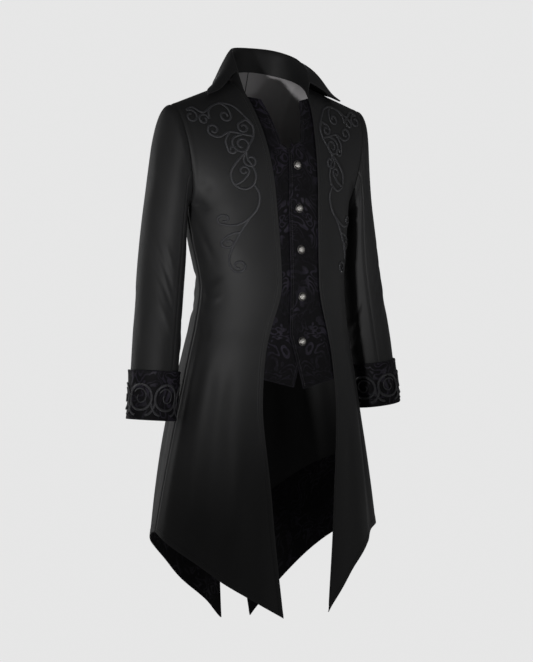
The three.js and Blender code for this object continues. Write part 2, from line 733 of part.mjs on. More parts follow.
// Lining inside the neck and upper back, laid on the back panels' own points
function addBackLining(side) {
  add(`back_lining_${side.word}`, panel(coatBack, {
    columns: BACK_COLUMNS.slice(0, -1),
    rows: BACK_ROWS.slice(0, LINING_ROWS),
    wall: LINING_WALL,
    out: 1,
    lift: -UNDER_BACK,
    side: side.sign,
    shift: [HALF_GAP, HALF_GAP, 0],
  }), clothMaterial(COLOURS.lining, 0.55));
}

// Facing inside each back tail, along its pointed hem, laid on the tail's own points
function addTailFacing(side) {
  add(`tail_facing_${side.word}`, panel(coatBack, {
    columns: BACK_COLUMNS.slice(0, -1),
    rows: BACK_ROWS.slice(-FACING_ROWS),
    wall: LINING_WALL,
    out: 1,
    lift: -UNDER_BACK,
    side: side.sign,
    shift: [HALF_GAP, HALF_GAP, 0],
  }), clothMaterial(COLOURS.jacquard, 0.7));
}

function strokePath(stroke) {
  const points = stroke.points.map(([x, z]) => new THREE.Vector3(x, z, 0));
  if (stroke.curl) {
    const centre = new THREE.Vector3(...stroke.curl, 0);
    const arm = points.at(-1).clone().sub(centre);
    const start = Math.atan2(arm.y, arm.x);
    for (const t of evenly(11).slice(1)) {
      const radius = arm.length() * THREE.MathUtils.lerp(1, CURL_CORE, t);
      const angle = start + stroke.hand * t * CURL_TURNS * 2 * Math.PI;
      const reach = new THREE.Vector3(Math.cos(angle), Math.sin(angle), 0).multiplyScalar(radius);
      points.push(centre.clone().add(reach));
    }
  }
  return new THREE.CatmullRomCurve3(points, false, 'centripetal');
}

// One cord laid along a path: a low ridge of three sides on the cloth
function cordSolid(path, seat, pace, closed = false) {
  const count = Math.max(Math.round(path.getLength() / pace), 4);
  const marks = path.getSpacedPoints(count);
  const sections = marks.map((mark, i) => {
    const ahead = marks[Math.min(i + 1, count)];
    const behind = marks[Math.max(i - 1, 0)];
    const along = ahead.clone().sub(behind).normalize();
    const narrow = !closed && (i === 0 || i === count) ? 0.5 : 1;
    const across = new THREE.Vector3(-along.y, along.x, 0).multiplyScalar((CORD_WIDTH / 2) * narrow);
    return [
      seat(mark.clone().add(across), 0),
      seat(mark, CORD_RISE),
      seat(mark.clone().sub(across), 0),
    ];
  });
  const corners = sections.flat();
  const triangles = [];
  for (let i = 0; i < count; i += 1) {
    for (let k = 0; k < 3; k += 1) {
      const a = i * 3 + k;
      const b = i * 3 + ((k + 1) % 3);
      triangles.push([a, b, b + 3], [a, b + 3, a + 3]);
    }
  }
  const end = count * 3;
  triangles.push([0, 2, 1], [end, end + 1, end + 2]);
  return solidOf(closedGeometry(corners, triangles));
}

function solidOf(geometry) {
  return new wasm.Manifold(new wasm.Mesh({
    numProp: 3,
    vertProperties: new Float32Array(geometry.attributes.position.array),
    triVerts: new Uint32Array(geometry.index.array),
  }));
}

function geometryOf(solid) {
  const mesh = solid.getMesh();
  const geometry = new THREE.BufferGeometry();
  const positions = new Float32Array(mesh.vertProperties);
  geometry.setAttribute('position', new THREE.BufferAttribute(positions, 3));
  geometry.setIndex(Array.from(mesh.triVerts));
  return geometry;
}

function joined(solids) {
  return solids.reduce((whole, solid) => whole.add(solid));
}

// Point lifted off a surface along its normal, the surface given by two flat coordinates
function liftedPoint(surface, mark, rise) {
  const step = 1.5;
  const point = surface(mark.x, mark.y);
  const overX = surface(mark.x + step, mark.y).sub(surface(mark.x - step, mark.y));
  const overZ = surface(mark.x, mark.y + step).sub(surface(mark.x, mark.y - step));
  return point.addScaledVector(overX.cross(overZ).normalize(), rise);
}

function addChestCords(side) {
  const seat = (mark, rise) => {
    const point = liftedPoint(frontAt, mark, CORD_LIFT + rise);
    return new THREE.Vector3(side.sign * point.x, point.y - HALF_GAP, point.z);
  };
  const cords = CHEST_STROKES.map((stroke) => cordSolid(strokePath(stroke), seat, CORD_STEP));
  add(`scrollwork_${side.word}`, geometryOf(joined(cords)), clothMaterial(COLOURS.cord, 0.6));
}

// Cuff scrollwork: a ring of loops round the cuff, joined by crossing stems
function addCuffCords(side) {
  const rings = CUFF_RINGS.map((ring) => ({ ...ring, outerZ: ring.z, innerZ: ring.z }));
  const height = CUFF_RINGS[0].z - CUFF_RINGS.at(-1).z;
  const around = (girth, drop) => {
    const angle = (girth / CUFF_GIRTH) * 2 * Math.PI;
    return ringsSurface(rings, angle, angle, side.word)(0, THREE.MathUtils.clamp(drop / height, 0, 1));
  };
  const seat = (mark, rise) => {
    const point = liftedPoint(around, mark, CORD_LIFT + rise);
    point.x = side.sign * (point.x + SLEEVE_SHIFT);
    return point;
  };
  const pitch = CUFF_GIRTH / CUFF_LOOPS;
  const cords = [];
  for (let i = 0; i < CUFF_LOOPS; i += 1) {
    const middle = (i + 0.5) * pitch;
    const loop = evenly(13).map((t) => new THREE.Vector3(
      middle + CUFF_LOOP_RADIUS * Math.sin(t * 2 * Math.PI),
      CUFF_LOOP_DROP - CUFF_LOOP_RADIUS * Math.cos(t * 2 * Math.PI),
      0,
    ));
    const reach = pitch / 2;
    for (const hand of [-1, 1]) {
      const stem = [
        [middle + hand * CUFF_LOOP_RADIUS * 0.95, CUFF_LOOP_DROP + 6],
        [middle + hand * reach, CUFF_LOOP_DROP + 21],
        [middle + hand * (reach + 7), CUFF_LOOP_DROP + 31],
        [middle + hand * (reach + 15), CUFF_LOOP_DROP + 35],
      ].map(([girth, drop]) => new THREE.Vector3(girth, drop, 0));
      const path = new THREE.CatmullRomCurve3(stem, false, 'centripetal');
      cords.push(cordSolid(path, seat, CUFF_CORD_STEP));
    }
    const ring = new THREE.CatmullRomCurve3(loop, false, 'centripetal');
    cords.push(cordSolid(ring, seat, CUFF_CORD_STEP, true));
  }
  add(`cuff_scrollwork_${side.word}`, geometryOf(joined(cords)), clothMaterial(COLOURS.cord, 0.6));
}

let lapCloth = null;
for (const side of SIDES) {
  addCoatPanels(side);
  addSleeve(side);
  lapCloth = addWaistcoat(side);
  addBackLining(side);
  addTailFacing(side);
  addChestCords(side);
  addCuffCords(side);
}
addCollar();
BUTTON_HEIGHTS.forEach((z, i) => addButton(z, i + 1, lapCloth));

export default tailcoat;
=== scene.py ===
# %% [markdown]
# # A long tailcoat, filled out as if worn
# The real coat is cut from black cotton sateen: two fronts, two backs, two-piece sleeves and a
# turned-down collar, with a sewn-in waistcoat front and wide cuffs of figured jacquard. The CAD
# model gives every piece its place and size. Here each piece becomes a thin shell of cloth with
# pressed seams, stitched edges and soft creases, and every finish is made from shader nodes.

# %% Load the CAD frame and keep its box
import math

import bmesh
import bpy
import numpy as np
from mathutils import Matrix, Vector
from mathutils.bvhtree import BVHTree


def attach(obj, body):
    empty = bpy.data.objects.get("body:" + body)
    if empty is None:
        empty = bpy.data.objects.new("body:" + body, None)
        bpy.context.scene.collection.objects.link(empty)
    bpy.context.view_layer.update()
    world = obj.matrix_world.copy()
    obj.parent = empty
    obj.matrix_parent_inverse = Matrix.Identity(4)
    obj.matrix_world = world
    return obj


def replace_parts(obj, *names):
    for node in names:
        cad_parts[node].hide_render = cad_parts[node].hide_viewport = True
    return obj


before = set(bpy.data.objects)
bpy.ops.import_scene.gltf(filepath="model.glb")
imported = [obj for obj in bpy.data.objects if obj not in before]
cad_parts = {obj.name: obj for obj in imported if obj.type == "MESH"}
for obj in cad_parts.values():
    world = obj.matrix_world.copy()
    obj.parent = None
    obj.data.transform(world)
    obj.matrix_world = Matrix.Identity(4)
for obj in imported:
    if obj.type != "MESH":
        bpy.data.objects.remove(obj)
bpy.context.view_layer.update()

# %% [markdown]
# The photograph is taken from the wearer's right front, level with the waist, with a long lens.
# A long lens keeps the coat's sides nearly parallel, so the camera stands 5.7 m away.

# %% Camera
CAMERA_PLACE = Vector((-3.1044, -4.7804, -0.320))
CAMERA_AIM = Vector((0.0037, -0.0024, -0.446))
SENSOR_MM, LENS_MM = 36, 154.98


def set_up(name, data, place, aim):
    """A camera or lamp in the scene, turned to its aim."""
    thing = bpy.data.objects.new(name, data)
    bpy.context.scene.collection.objects.link(thing)
    thing.location = place
    thing.rotation_euler = (Vector(aim) - Vector(place)).to_track_quat("-Z", "Y").to_euler()
    return thing


camera_data = bpy.data.cameras.new("camera")
camera_data.sensor_width = SENSOR_MM
camera_data.lens = LENS_MM
bpy.context.scene.camera = set_up("camera", camera_data, CAMERA_PLACE, CAMERA_AIM)
print("camera stands", round(CAMERA_PLACE.length, 2), "m from the shoulders")

# %% [markdown]
# In the photograph the light comes from the front and a little from below: the shoulders, the
# collar and the flared skirt, whose faces look up, are the darkest parts. So the key is a soft spot
# low at the camera's left, a narrower one at the camera's right lights the left chest, and weak
# lamps fill the other sides. The floor curves up into the backdrop all round, so that no horizon
# shows from any side.

# %% Pale floor and backdrop
FLOOR_Z = -2.30
BACKDROP_REACH, CORNER_RADIUS, WALL_HEIGHT = 6.6, 1.6, 3
SWEEP_STEPS = [-6, -4, -2, *np.linspace(0, 1, 17), 1.5, 2.6]
SWEEP_SIDES = 96
PAPER_GREY, PAPER_GLOW, PAPER_GLOW_SEEN = 0.06, 0.19, 0.785


def make_object(name, vertices, faces):
    mesh = bpy.data.meshes.new(name)
    mesh.from_pydata([tuple(v) for v in vertices], [], faces)
    thing = bpy.data.objects.new(name, mesh)
    bpy.context.scene.collection.objects.link(thing)
    return thing


def set_inputs(node, **values):
    """Sets a node's inputs by their names, written with _ for a space."""
    for name, value in values.items():
        node.inputs[name.replace("_", " ")].default_value = value


def shown_material(name):
    material = bpy.data.materials.new(name)
    material.use_nodes = True
    return material, material.node_tree, material.node_tree.nodes["Principled BSDF"]


def sweep_point(t):
    """Profile of the floor and backdrop: t runs along the floor, round the corner and up."""
    if t <= 0:
        return BACKDROP_REACH + t, FLOOR_Z
    if t < 1:
        angle = t * math.pi / 2
        return (BACKDROP_REACH + CORNER_RADIUS * math.sin(angle),
                FLOOR_Z + CORNER_RADIUS * (1 - math.cos(angle)))
    return BACKDROP_REACH + CORNER_RADIUS, FLOOR_Z + CORNER_RADIUS + (t - 1) * WALL_HEIGHT


sweep_corners = []
for t in SWEEP_STEPS:
    reach, height = sweep_point(t)
    for k in range(SWEEP_SIDES):
        angle = 2 * math.pi * k / SWEEP_SIDES
        sweep_corners.append((reach * math.cos(angle), reach * math.sin(angle), height))
sweep_faces = [tuple(range(SWEEP_SIDES))]
for ring in range(0, (len(SWEEP_STEPS) - 1) * SWEEP_SIDES, SWEEP_SIDES):
    for k in range(SWEEP_SIDES):
        ahead = (k + 1) % SWEEP_SIDES
        sweep_faces.append((ring + k, ring + SWEEP_SIDES + k, ring + SWEEP_SIDES + ahead, ring + ahead))
sweep = make_object("studio_sweep", sweep_corners, sweep_faces)
sweep.data.shade_smooth()
paper, paper_tree, paper_shader = shown_material("studio_paper")
set_inputs(paper_shader, Base_Color=(PAPER_GREY, PAPER_GREY, PAPER_GREY, 1), Roughness=1,
           Specular_IOR_Level=0, Emission_Color=(1, 1, 1, 1))
seen = paper_tree.nodes.new("ShaderNodeLightPath").outputs["Is Camera Ray"]
glow = paper_tree.nodes.new("ShaderNodeMapRange")
set_inputs(glow, To_Min=PAPER_GLOW, To_Max=PAPER_GLOW_SEEN)
paper_tree.links.new(seen, glow.inputs["Value"])
paper_tree.links.new(glow.outputs["Result"], paper_shader.inputs["Emission Strength"])
sweep.data.materials.append(paper)
print("floor at", FLOOR_Z, "m, backdrop", BACKDROP_REACH, "m away all round")

# %% Soft studio lamps
LAMPS = [
    # name, kind, place, aim, size, watts
    ("key_lamp", "SPOT", (-3.1, -2.7, -1.35), (-0.10, -0.08, -0.29), 0.14, 590),
    ("chest_lamp", "SPOT", (1.5, -3.4, -0.5), (0.09, -0.1, -0.22), 0.3, 165),
    ("fill_lamp", "AREA", (2.2, -2.6, -0.3), (0, 0, -0.2), 1.6, 5),
    ("side_lamp", "AREA", (-3.0, 0.6, 0.3), (0, 0, -0.3), 1.6, 4),
    ("back_lamp", "AREA", (2.2, 3.2, 0.3), (0, 0, -0.3), 2.0, 26),
    ("nape_lamp", "AREA", (-1.2, 3.7, 0.1), (0, 0, -0.3), 2.0, 16),
]
CONES = {"key_lamp": 12.5, "chest_lamp": 8}
AIR_COLOUR, AIR_STRENGTH = (0.93, 0.94, 0.96, 1), 0.12
for name, kind, place, aim, size, watts in LAMPS:
    data = bpy.data.lights.new(name, kind)
    if kind == "AREA":
        data.shape = "DISK"
        data.size = size
    else:
        data.shadow_soft_size = size
        data.spot_size = math.radians(CONES[name])
        data.spot_blend = 1.0
    data.energy = watts
    set_up(name, data, place, aim)
world = bpy.data.worlds.new("studio_air")
world.use_nodes = True
set_inputs(world.node_tree.nodes["Background"], Color=AIR_COLOUR, Strength=AIR_STRENGTH)
bpy.context.scene.world = world
bpy.context.scene.view_settings.view_transform = "Standard"
print(len(LAMPS), "lamps")

# %% [markdown]
# ## The measures of the coat
# A tailor drafts a coat from a few body measures. These tables hold the same numbers as the CAD
# source, in millimetres: rings round the body and sleeves, the front edge, and the hems. Between
# the rows of a table a smooth curve is read off, as a tailor draws it with a curved rule. Only the
# seams differ: the CAD keeps 0.3 mm between two pieces, and here their edges meet.

# %% Tables of the draft, in millimetres
def rows_of(names, rows):
    return {name: np.array(column, float) for name, column in zip(names.split(), zip(*rows))}


RIDGE_Y, SHOULDER_X, NECK_X, NECK_Z = -3, 218, 78, 50
NAPE_Y, NAPE_Z = 62, 74
RIDGE_CENTRE_Z = NECK_Z * SHOULDER_X / (SHOULDER_X - NECK_X)
ARMPIT_X, ARMPIT_Z, ARMHOLE_FRONT, ARMHOLE_BACK = 184, -200, 45, 48
BODY = rows_of("z half_width side_y front_y back_y", [
    (-200, 184, -3, -125, 116), (-271, 173, -9, -131, 97), (-355, 162, -19, -136, 85),
    (-435, 172, -16, -135, 108), (-485, 182, -12, -137, 122), (-620, 209, -4, -142, 156),
    (-760, 237, 2, -148, 156), (-856, 254, 6, -151, 140), (-1030, 284, 8, -157, 106),
])
FRONT_EDGE = rows_of("z x", [
    (50, 78), (8, 71), (-74, 58), (-190, 49), (-350, 44), (-388, 50), (-439, 66), (-486, 77),
    (-560, 85), (-620, 86), (-756, 75), (-856, 68), (-1000, 54),
])
SIDE_HEM_Z, BACK_TIP_Z = -837, -1029
FRONT_TIP_Z = {"right": -1004, "left": -998}
FRONT_HEM_CURVE = {"right": 1.35, "left": 3.4}
BACK_HEM_CURVE = 1.95
VENT_TOP_Z, VENT_HALF_OPEN = -520, 34
FOLD_TOP_Z, FOLD_FULL_Z = -430, -860
FOLDS = [(9, 0.6, 2.6), (14, 2.1, 1.8)]
LEVEL_DROP, FRONT_FULLNESS, RIDGE_EASE, ARM_SHARE, SHOULDER_SPREAD = 100, 1.15, 20, 0.3, 0.5
HALF_GAP, SLEEVE_SHIFT, COAT_WALL, LAYER_GAP = -0.1, 0.5, 2.0, 1.3
WAISTCOAT_WALL, LINING_WALL, COLLAR_WALL, CUFF_WALL = 1.6, 1.2, 2.4, 2.4
UNDER_COAT, LAP_UNDER, UNDER_BACK = COAT_WALL + LAYER_GAP, WAISTCOAT_WALL + LAYER_GAP, COAT_WALL + 0.6
EDGE_LINE, HEM_LINE, NARROW_LINE = 9.0, 12.6, 5.5
FRONT, BACK = np.array([0, -1.0, 0]), np.array([0, 1.0, 0])
MM = 0.001
print("side seams hang from the armpit at", ARMPIT_Z, "to", SIDE_HEM_Z, "mm")

# %% Read a smooth curve through a table
def glide(knots, values, at):
    """Smooth curve through values at rising knots, read at any array of places."""
    last = len(knots) - 1
    i = np.clip(np.searchsorted(knots[1:last], at, side="left"), 0, last - 1)
    before, after = np.maximum(np.arange(last + 1) - 1, 0), np.minimum(np.arange(last + 1) + 1, last)
    slopes = (values[after] - values[before]) / (knots[after] - knots[before])
    span = knots[i + 1] - knots[i]
    t = np.clip((at - knots[i]) / span, 0, 1)
    h = t * t * (3 - 2 * t)
    bend = t * (1 - t) ** 2 * slopes[i] * span - t * t * (1 - t) * slopes[i + 1] * span
    return values[i] * (1 - h) + values[i + 1] * h + bend


def at_height(rows, column, z):
    return glide(-rows["z"], rows[column], -np.asarray(z, float))


def ease(low, high, value):
    t = np.clip((value - low) / (high - low), 0, 1)
    return t * t * (3 - 2 * t)


def mix(a, b, t):
    return a + (b - a) * t


def stack(x, y, z):
    return np.stack(np.broadcast_arrays(x, y, z), axis=-1).astype(float)


print("chest half width at z -300:", round(float(at_height(BODY, "half_width", -300)), 1), "mm")

# %% [markdown]
# The front of the coat is found row by row. A level is a row of the weave: level 0 is the shoulder
# seam, level 1 the armpit, and each level below hangs 100 mm lower. In a row, the cloth follows an
# oval from the centre line to the armhole or side seam.

# %% Front, back and skirt folds
def armhole(angle, depth):
    reach = (SHOULDER_X - ARMPIT_X) / 2
    return ((SHOULDER_X + ARMPIT_X) / 2 + reach * np.cos(angle),
            RIDGE_Y + depth * np.sin(angle), ARMPIT_Z / 2 * (1 - np.cos(angle)))


def front_row(level):
    hangs = level >= 1
    z = np.where(hangs, ARMPIT_Z - (level - 1) * LEVEL_DROP, ARMPIT_Z)
    upper = np.clip(level, 0, 1)
    turn = upper * math.pi / 2
    arm_x, arm_y, arm_z = armhole(upper * math.pi, -ARMHOLE_FRONT)
    side_y = at_height(BODY, "side_y", z)
    chest_y = BODY["front_y"][0]
    return {
        "middle_z": np.where(hangs, z, ARMPIT_Z + (RIDGE_CENTRE_Z - ARMPIT_Z) * np.cos(turn)),
        "middle_y": np.where(hangs, at_height(BODY, "front_y", z),
                             RIDGE_Y + (chest_y - RIDGE_Y) * np.sin(turn) ** FRONT_FULLNESS),
        "arm_x": np.where(hangs, at_height(BODY, "half_width", z), arm_x),
        "arm_y": np.where(hangs, side_y, arm_y),
        "arm_z": np.where(hangs, z, arm_z),
        "axis_y": np.where(hangs, side_y, RIDGE_Y + RIDGE_EASE * (1 - upper)),
    }


def front_at_level(level, x):
    row = front_row(level)
    share = np.minimum((x / row["arm_x"]) ** 2, 1)
    depth = mix((row["axis_y"] - row["middle_y"]) ** 2, (row["axis_y"] - row["arm_y"]) ** 2, share)
    z = mix(row["middle_z"], row["arm_z"], np.minimum(np.abs(x) / row["arm_x"], 1))
    return stack(x, row["axis_y"] - np.sqrt(depth), z)


def front_at(x, z):
    """Point of the front surface found by its height."""
    x, z = np.broadcast_arrays(np.asarray(x, float), np.asarray(z, float))
    high, low = np.zeros_like(z), np.ones_like(z)
    for _ in range(26):
        middle = (high + low) / 2
        above = front_at_level(middle, x)[..., 2] > z
        high, low = np.where(above, middle, high), np.where(above, low, middle)
    level = np.where(z < ARMPIT_Z, 1 + (ARMPIT_Z - z) / LEVEL_DROP, (high + low) / 2)
    return front_at_level(level, x)


def skirt_fold(points):
    grown = ease(-FOLD_TOP_Z, -FOLD_FULL_Z, -points[..., 2])
    angle = np.arctan2(points[..., 1], points[..., 0])
    depth = sum(size * np.cos(turns * angle + phase) for turns, phase, size in FOLDS)
    out = points[..., :2] / np.linalg.norm(points[..., :2], axis=-1, keepdims=True)
    moved = points.copy()
    moved[..., :2] += out * (depth * grown)[..., None]
    return moved


def level_of(along, hem_z):
    below = (along - ARM_SHARE) / (1 - ARM_SHARE)
    return np.where(along < ARM_SHARE, along / ARM_SHARE, 1 + below * (ARMPIT_Z - hem_z) / LEVEL_DROP)


def coat_front(across, along, word):
    hem = mix(FRONT_TIP_Z[word], SIDE_HEM_Z, 1 - (1 - across) ** FRONT_HEM_CURVE[word])
    level = level_of(along, hem)
    arm_x = front_row(level)["arm_x"]
    edge = np.full_like(level, SHOULDER_X / 3)
    for _ in range(4):
        edge = at_height(FRONT_EDGE, "x", front_at_level(level, edge)[..., 2])
    spread = math.pi / 2 * mix(SHOULDER_SPREAD, 1, np.minimum(level, 1))
    start = np.arcsin(edge / arm_x * np.sin(spread))
    x = arm_x * np.sin(mix(start, spread, across)) / np.sin(spread)
    return skirt_fold(front_at_level(level, x))


NECK_SHARE = NECK_X / SHOULDER_X


def upper_back(across, level):
    x = SHOULDER_X * across
    in_neck = across < NECK_SHARE
    rounded = np.sqrt(np.clip(1 - (x / NECK_X) ** 2, 0, 1))
    top_y = np.where(in_neck, mix(RIDGE_Y, NAPE_Y, rounded), RIDGE_Y)
    top_z = np.where(in_neck, mix(NECK_Z, NAPE_Z, rounded), RIDGE_CENTRE_Z * (1 - x / SHOULDER_X))
    turn = level * math.pi / 2
    half, side_y, back_y = (float(at_height(BODY, c, ARMPIT_Z)) for c in ("half_width", "side_y", "back_y"))
    ring_x = half * np.sin(across * math.pi / 2)
    ring_y = side_y + (back_y - side_y) * np.cos(across * math.pi / 2)
    steep = np.maximum(1 - (across / NECK_SHARE) ** 2, 0)
    stay = mix(np.cos(turn), 1 - level, steep)
    arm_x, arm_y, arm_z = armhole(level * math.pi, ARMHOLE_BACK)
    pull = across ** 3
    return stack(
        mix(x, ring_x, level) + pull * (arm_x - mix(SHOULDER_X, ARMPIT_X, level)),
        mix(top_y, ring_y, np.sin(turn)) + pull * (arm_y - RIDGE_Y),
        ARMPIT_Z + (top_z - ARMPIT_Z) * stay + pull * (arm_z - ARMPIT_Z * (1 - np.cos(turn))))


def coat_back(across, along):
    hem = mix(BACK_TIP_Z, SIDE_HEM_Z, 1 - (1 - across) ** BACK_HEM_CURVE)
    level = level_of(along, hem)
    z = ARMPIT_Z - (np.maximum(level, 1) - 1) * LEVEL_DROP
    half, side_y, back_y = (at_height(BODY, c, z) for c in ("half_width", "side_y", "back_y"))
    vent = VENT_HALF_OPEN * np.clip((VENT_TOP_Z - z) / (VENT_TOP_Z - BACK_TIP_Z), 0, 1)
    turn = mix(np.arcsin(vent / half), math.pi / 2, across)
    lower = stack(half * np.sin(turn), side_y + (back_y - side_y) * np.cos(turn), z)
    upper = upper_back(across, np.minimum(level, 1))
    return np.where((level <= 1)[..., None], upper, skirt_fold(lower))


print("front tail tip:", coat_front(np.array(0.0), np.array(1.0), "right").round(1))

# %% [markdown]
# ## From a surface to a sheet of cloth
# A piece of cloth is a grid of points: rows down it and columns across it. Its columns stand close
# together beside an edge or a seam, where the needle pulls the cloth, and further apart between.
# The grid then gets its thickness from a Solidify modifier, as real cloth has two faces.

# %% Grid helpers
BAND = np.array([0, 0.7, 1.5, 2.6, 4, 5.5, 7, 8, 8.7, 9.4, 10.2, 11.2, 12.6, 14.5, 17])


def unit(vectors):
    return vectors / np.maximum(np.linalg.norm(vectors, axis=-1, keepdims=True), 1e-9)


def grid_normals(points, hint):
    """Unit normals of a grid, turned to the side that hint points to."""
    normal = unit(np.cross(np.gradient(points, axis=1), np.gradient(points, axis=0)))
    facing = np.sum(normal * hint, axis=-1).mean()
    return normal if facing > 0 else -normal


def shares_across(lengths, count, dense_end=True):
    """Columns for each row: close together beside each edge, evenly spread between."""
    rows = []
    for length in lengths:
        start = BAND / length
        end = 1 - BAND[::-1] / length if dense_end else np.array([1.0])
        between = np.linspace(start[-1], end[0], count + 2)[1:-1]
        rows.append(np.concatenate([start, between, end]))
    return np.array(rows)


def rows_down(top_count, low_count, hang):
    """Rows for a body panel: the armhole's share, then the rest, close together at the hem."""
    upper = np.linspace(0, ARM_SHARE, top_count)
    end = 1 - BAND[::-1] / hang * (1 - ARM_SHARE)
    lower = np.linspace(ARM_SHARE, end[0], low_count)[1:-1]
    return np.concatenate([upper, lower, end])


def run(points, axis):
    """Distance walked along a grid's rows or columns."""
    step = np.linalg.norm(np.diff(points, axis=axis), axis=-1)
    first = np.zeros_like(np.take(step, [0], axis=axis))
    return np.concatenate([first, np.cumsum(step, axis=axis)], axis=axis)


def edge_gaps(points):
    """Distance of each grid point from the first and last columns and the first and last rows."""
    walk = run(points, 1)
    return walk, walk[:, -1:] - walk, run(points, 0), run(points[::-1], 0)[::-1]


def sweep_kink(points, row, reach):
    """Eases a change of slope across the rows near one row."""
    eased = points.copy()
    weights = np.exp(-np.linspace(-2, 2, 2 * reach + 1) ** 2)
    weights /= weights.sum()
    for i in range(max(reach, 1), len(points) - reach):
        near = math.exp(-((i - row) / (1.2 * reach)) ** 2)
        if near > 0.02:
            average = np.tensordot(weights, points[i - reach:i + reach + 1], axes=(0, 0))
            eased[i] = mix(points[i], average, near)
    return eased


print("an edge band has", len(BAND), "columns in its first", BAND[-1], "mm")

# %% [markdown]
# ### Creases
# Cloth that hangs on a body is never smooth. It drags from the armpit, crumples at the waist, and
# swings into folds in the skirt. Each crease here is a line of points on the flat piece with a
# width and a height: a trough where the height is below zero, a ridge where it is
# above. No two are the same, and they die away before a seam.

# %% Crease helper
CREASE_STEPS, CREASE_WAVER, CREASE_WAVES = 18, 0.25, 9
SEAM_DEPTH, SEAM_WIDTH = 0.8, 1.9
ALLOWANCE_RISE, ALLOWANCE_MIDDLE, ALLOWANCE_WIDTH = 0.35, 6.5, 3.2
EDGE_RISE, GROOVE_DEPTH, GROOVE_WIDTH = 0.55, 0.55, 1.0
EDGE_HOLD, SEAM_HOLD, TOP_HOLD, HEM_HOLD, HEM_CREASE = 34, 30, 50, 190, 0.3


def crease_heights(share, down, lengths, creases):
    """Height in millimetres of a piece's creases at each grid point."""
    flat = share * lengths[:, None]
    middle_down = down[:, down.shape[1] // 2]
    total = np.zeros_like(flat)
    for line, width, height, runs_out in creases:
        line = np.array(line, float)
        knots = np.arange(len(line), dtype=float)
        fine = np.linspace(0, len(line) - 1, CREASE_STEPS)
        line_share, line_down = (glide(knots, line[:, k], fine) if len(line) > 2
                                 else np.interp(fine, knots, line[:, k]) for k in (0, 1))
        line_flat = line_share * np.interp(line_down, middle_down, lengths)
        best, place = np.full_like(flat, 1e9), np.zeros_like(flat)
        for i in range(len(fine) - 1):
            ax, ay = line_flat[i], line_down[i]
            bx, by = line_flat[i + 1] - ax, line_down[i + 1] - ay
            t = np.clip(((flat - ax) * bx + (down - ay) * by) / (bx * bx + by * by), 0, 1)
            gap = np.hypot(flat - ax - t * bx, down - ay - t * by)
            closer = gap < best
            best = np.where(closer, gap, best)
            place = np.where(closer, (i + t) / (len(fine) - 1), place)
        fade = ease(0, 0.3, place) * (1 if runs_out else ease(0, 0.35, 1 - place))
        waver = 1 + CREASE_WAVER * np.sin(place * CREASE_WAVES + line_down[0])
        total += height * np.exp(-(best / (width * waver)) ** 2) * fade
    return total


def pressed_seam(gap):
    """A seam sinks between its two pressed-open allowances."""
    allowance = np.exp(-((gap - ALLOWANCE_MIDDLE) / ALLOWANCE_WIDTH) ** 2)
    return -SEAM_DEPTH * np.exp(-(gap / SEAM_WIDTH) ** 2) + ALLOWANCE_RISE * allowance


def stitched_edge(gap, line=EDGE_LINE):
    """A turned edge is thicker as far as its stitching, which pulls a fine groove."""
    thick = EDGE_RISE * (1 - ease(line, line + 4, gap)) * ease(-1.0, 1.6, gap)
    return thick - GROOVE_DEPTH * np.exp(-((gap - line) / GROOVE_WIDTH) ** 2)


def edge_wear_and_sheen(gap, width):
    """Rubbed wear and a painted sheen along a turned edge, dying away within a few millimetres."""
    return np.exp(-(gap / width) ** 2)


def free_cloth(gaps, seam_width):
    """Where creases may form: not at a seam or the shoulder, and less towards the hem."""
    walk, far_gap, top_gap, hem_gap = gaps
    free = ease(seam_width, EDGE_HOLD, walk) * ease(2, SEAM_HOLD, far_gap) * ease(4, TOP_HOLD, top_gap)
    return free * mix(HEM_CREASE, 1, ease(0, HEM_HOLD, hem_gap))


print("a seam sinks", round(-float(pressed_seam(np.array(0.0))), 2), "mm")

# %% Make the mesh of a sheet
SMOOTH_BELOW = math.radians(48)
CUTS = {
    # piece: wall in mm, slot, flat width and length in metres, how it is held, what it rests on
    "coat_front": (COAT_WALL, "coat_cloth", (0.34, 1.08), "hung", []),
    "coat_back": (COAT_WALL, "coat_cloth", (0.32, 1.12), "hung", []),
    "back_lining": (LINING_WALL, "lining_cloth", (0.20, 0.40), "hung", ["coat_back"]),
    "tail_facing": (LINING_WALL, "jacquard", (0.25, 0.26), "hung", ["coat_back"]),
    "sleeve_upper": (COAT_WALL, "coat_cloth", (0.24, 0.62), "hung", []),
    "sleeve_under": (COAT_WALL, "coat_cloth", (0.17, 0.46), "hung", []),
    "cuff": (CUFF_WALL, "jacquard", (0.325, 0.10), "stretched", ["sleeve_upper"]),
    "waistcoat_front": (WAISTCOAT_WALL, "jacquard", (0.14, 0.60), "hung", ["coat_front"]),
    "collar": (COLLAR_WALL, "coat_cloth", (0.15, 0.56), "folded", ["coat_back"]),
}


def pick_only(thing):
    bpy.ops.object.select_all(action="DESELECT")
    thing.select_set(True)
    bpy.context.view_layer.objects.active = thing


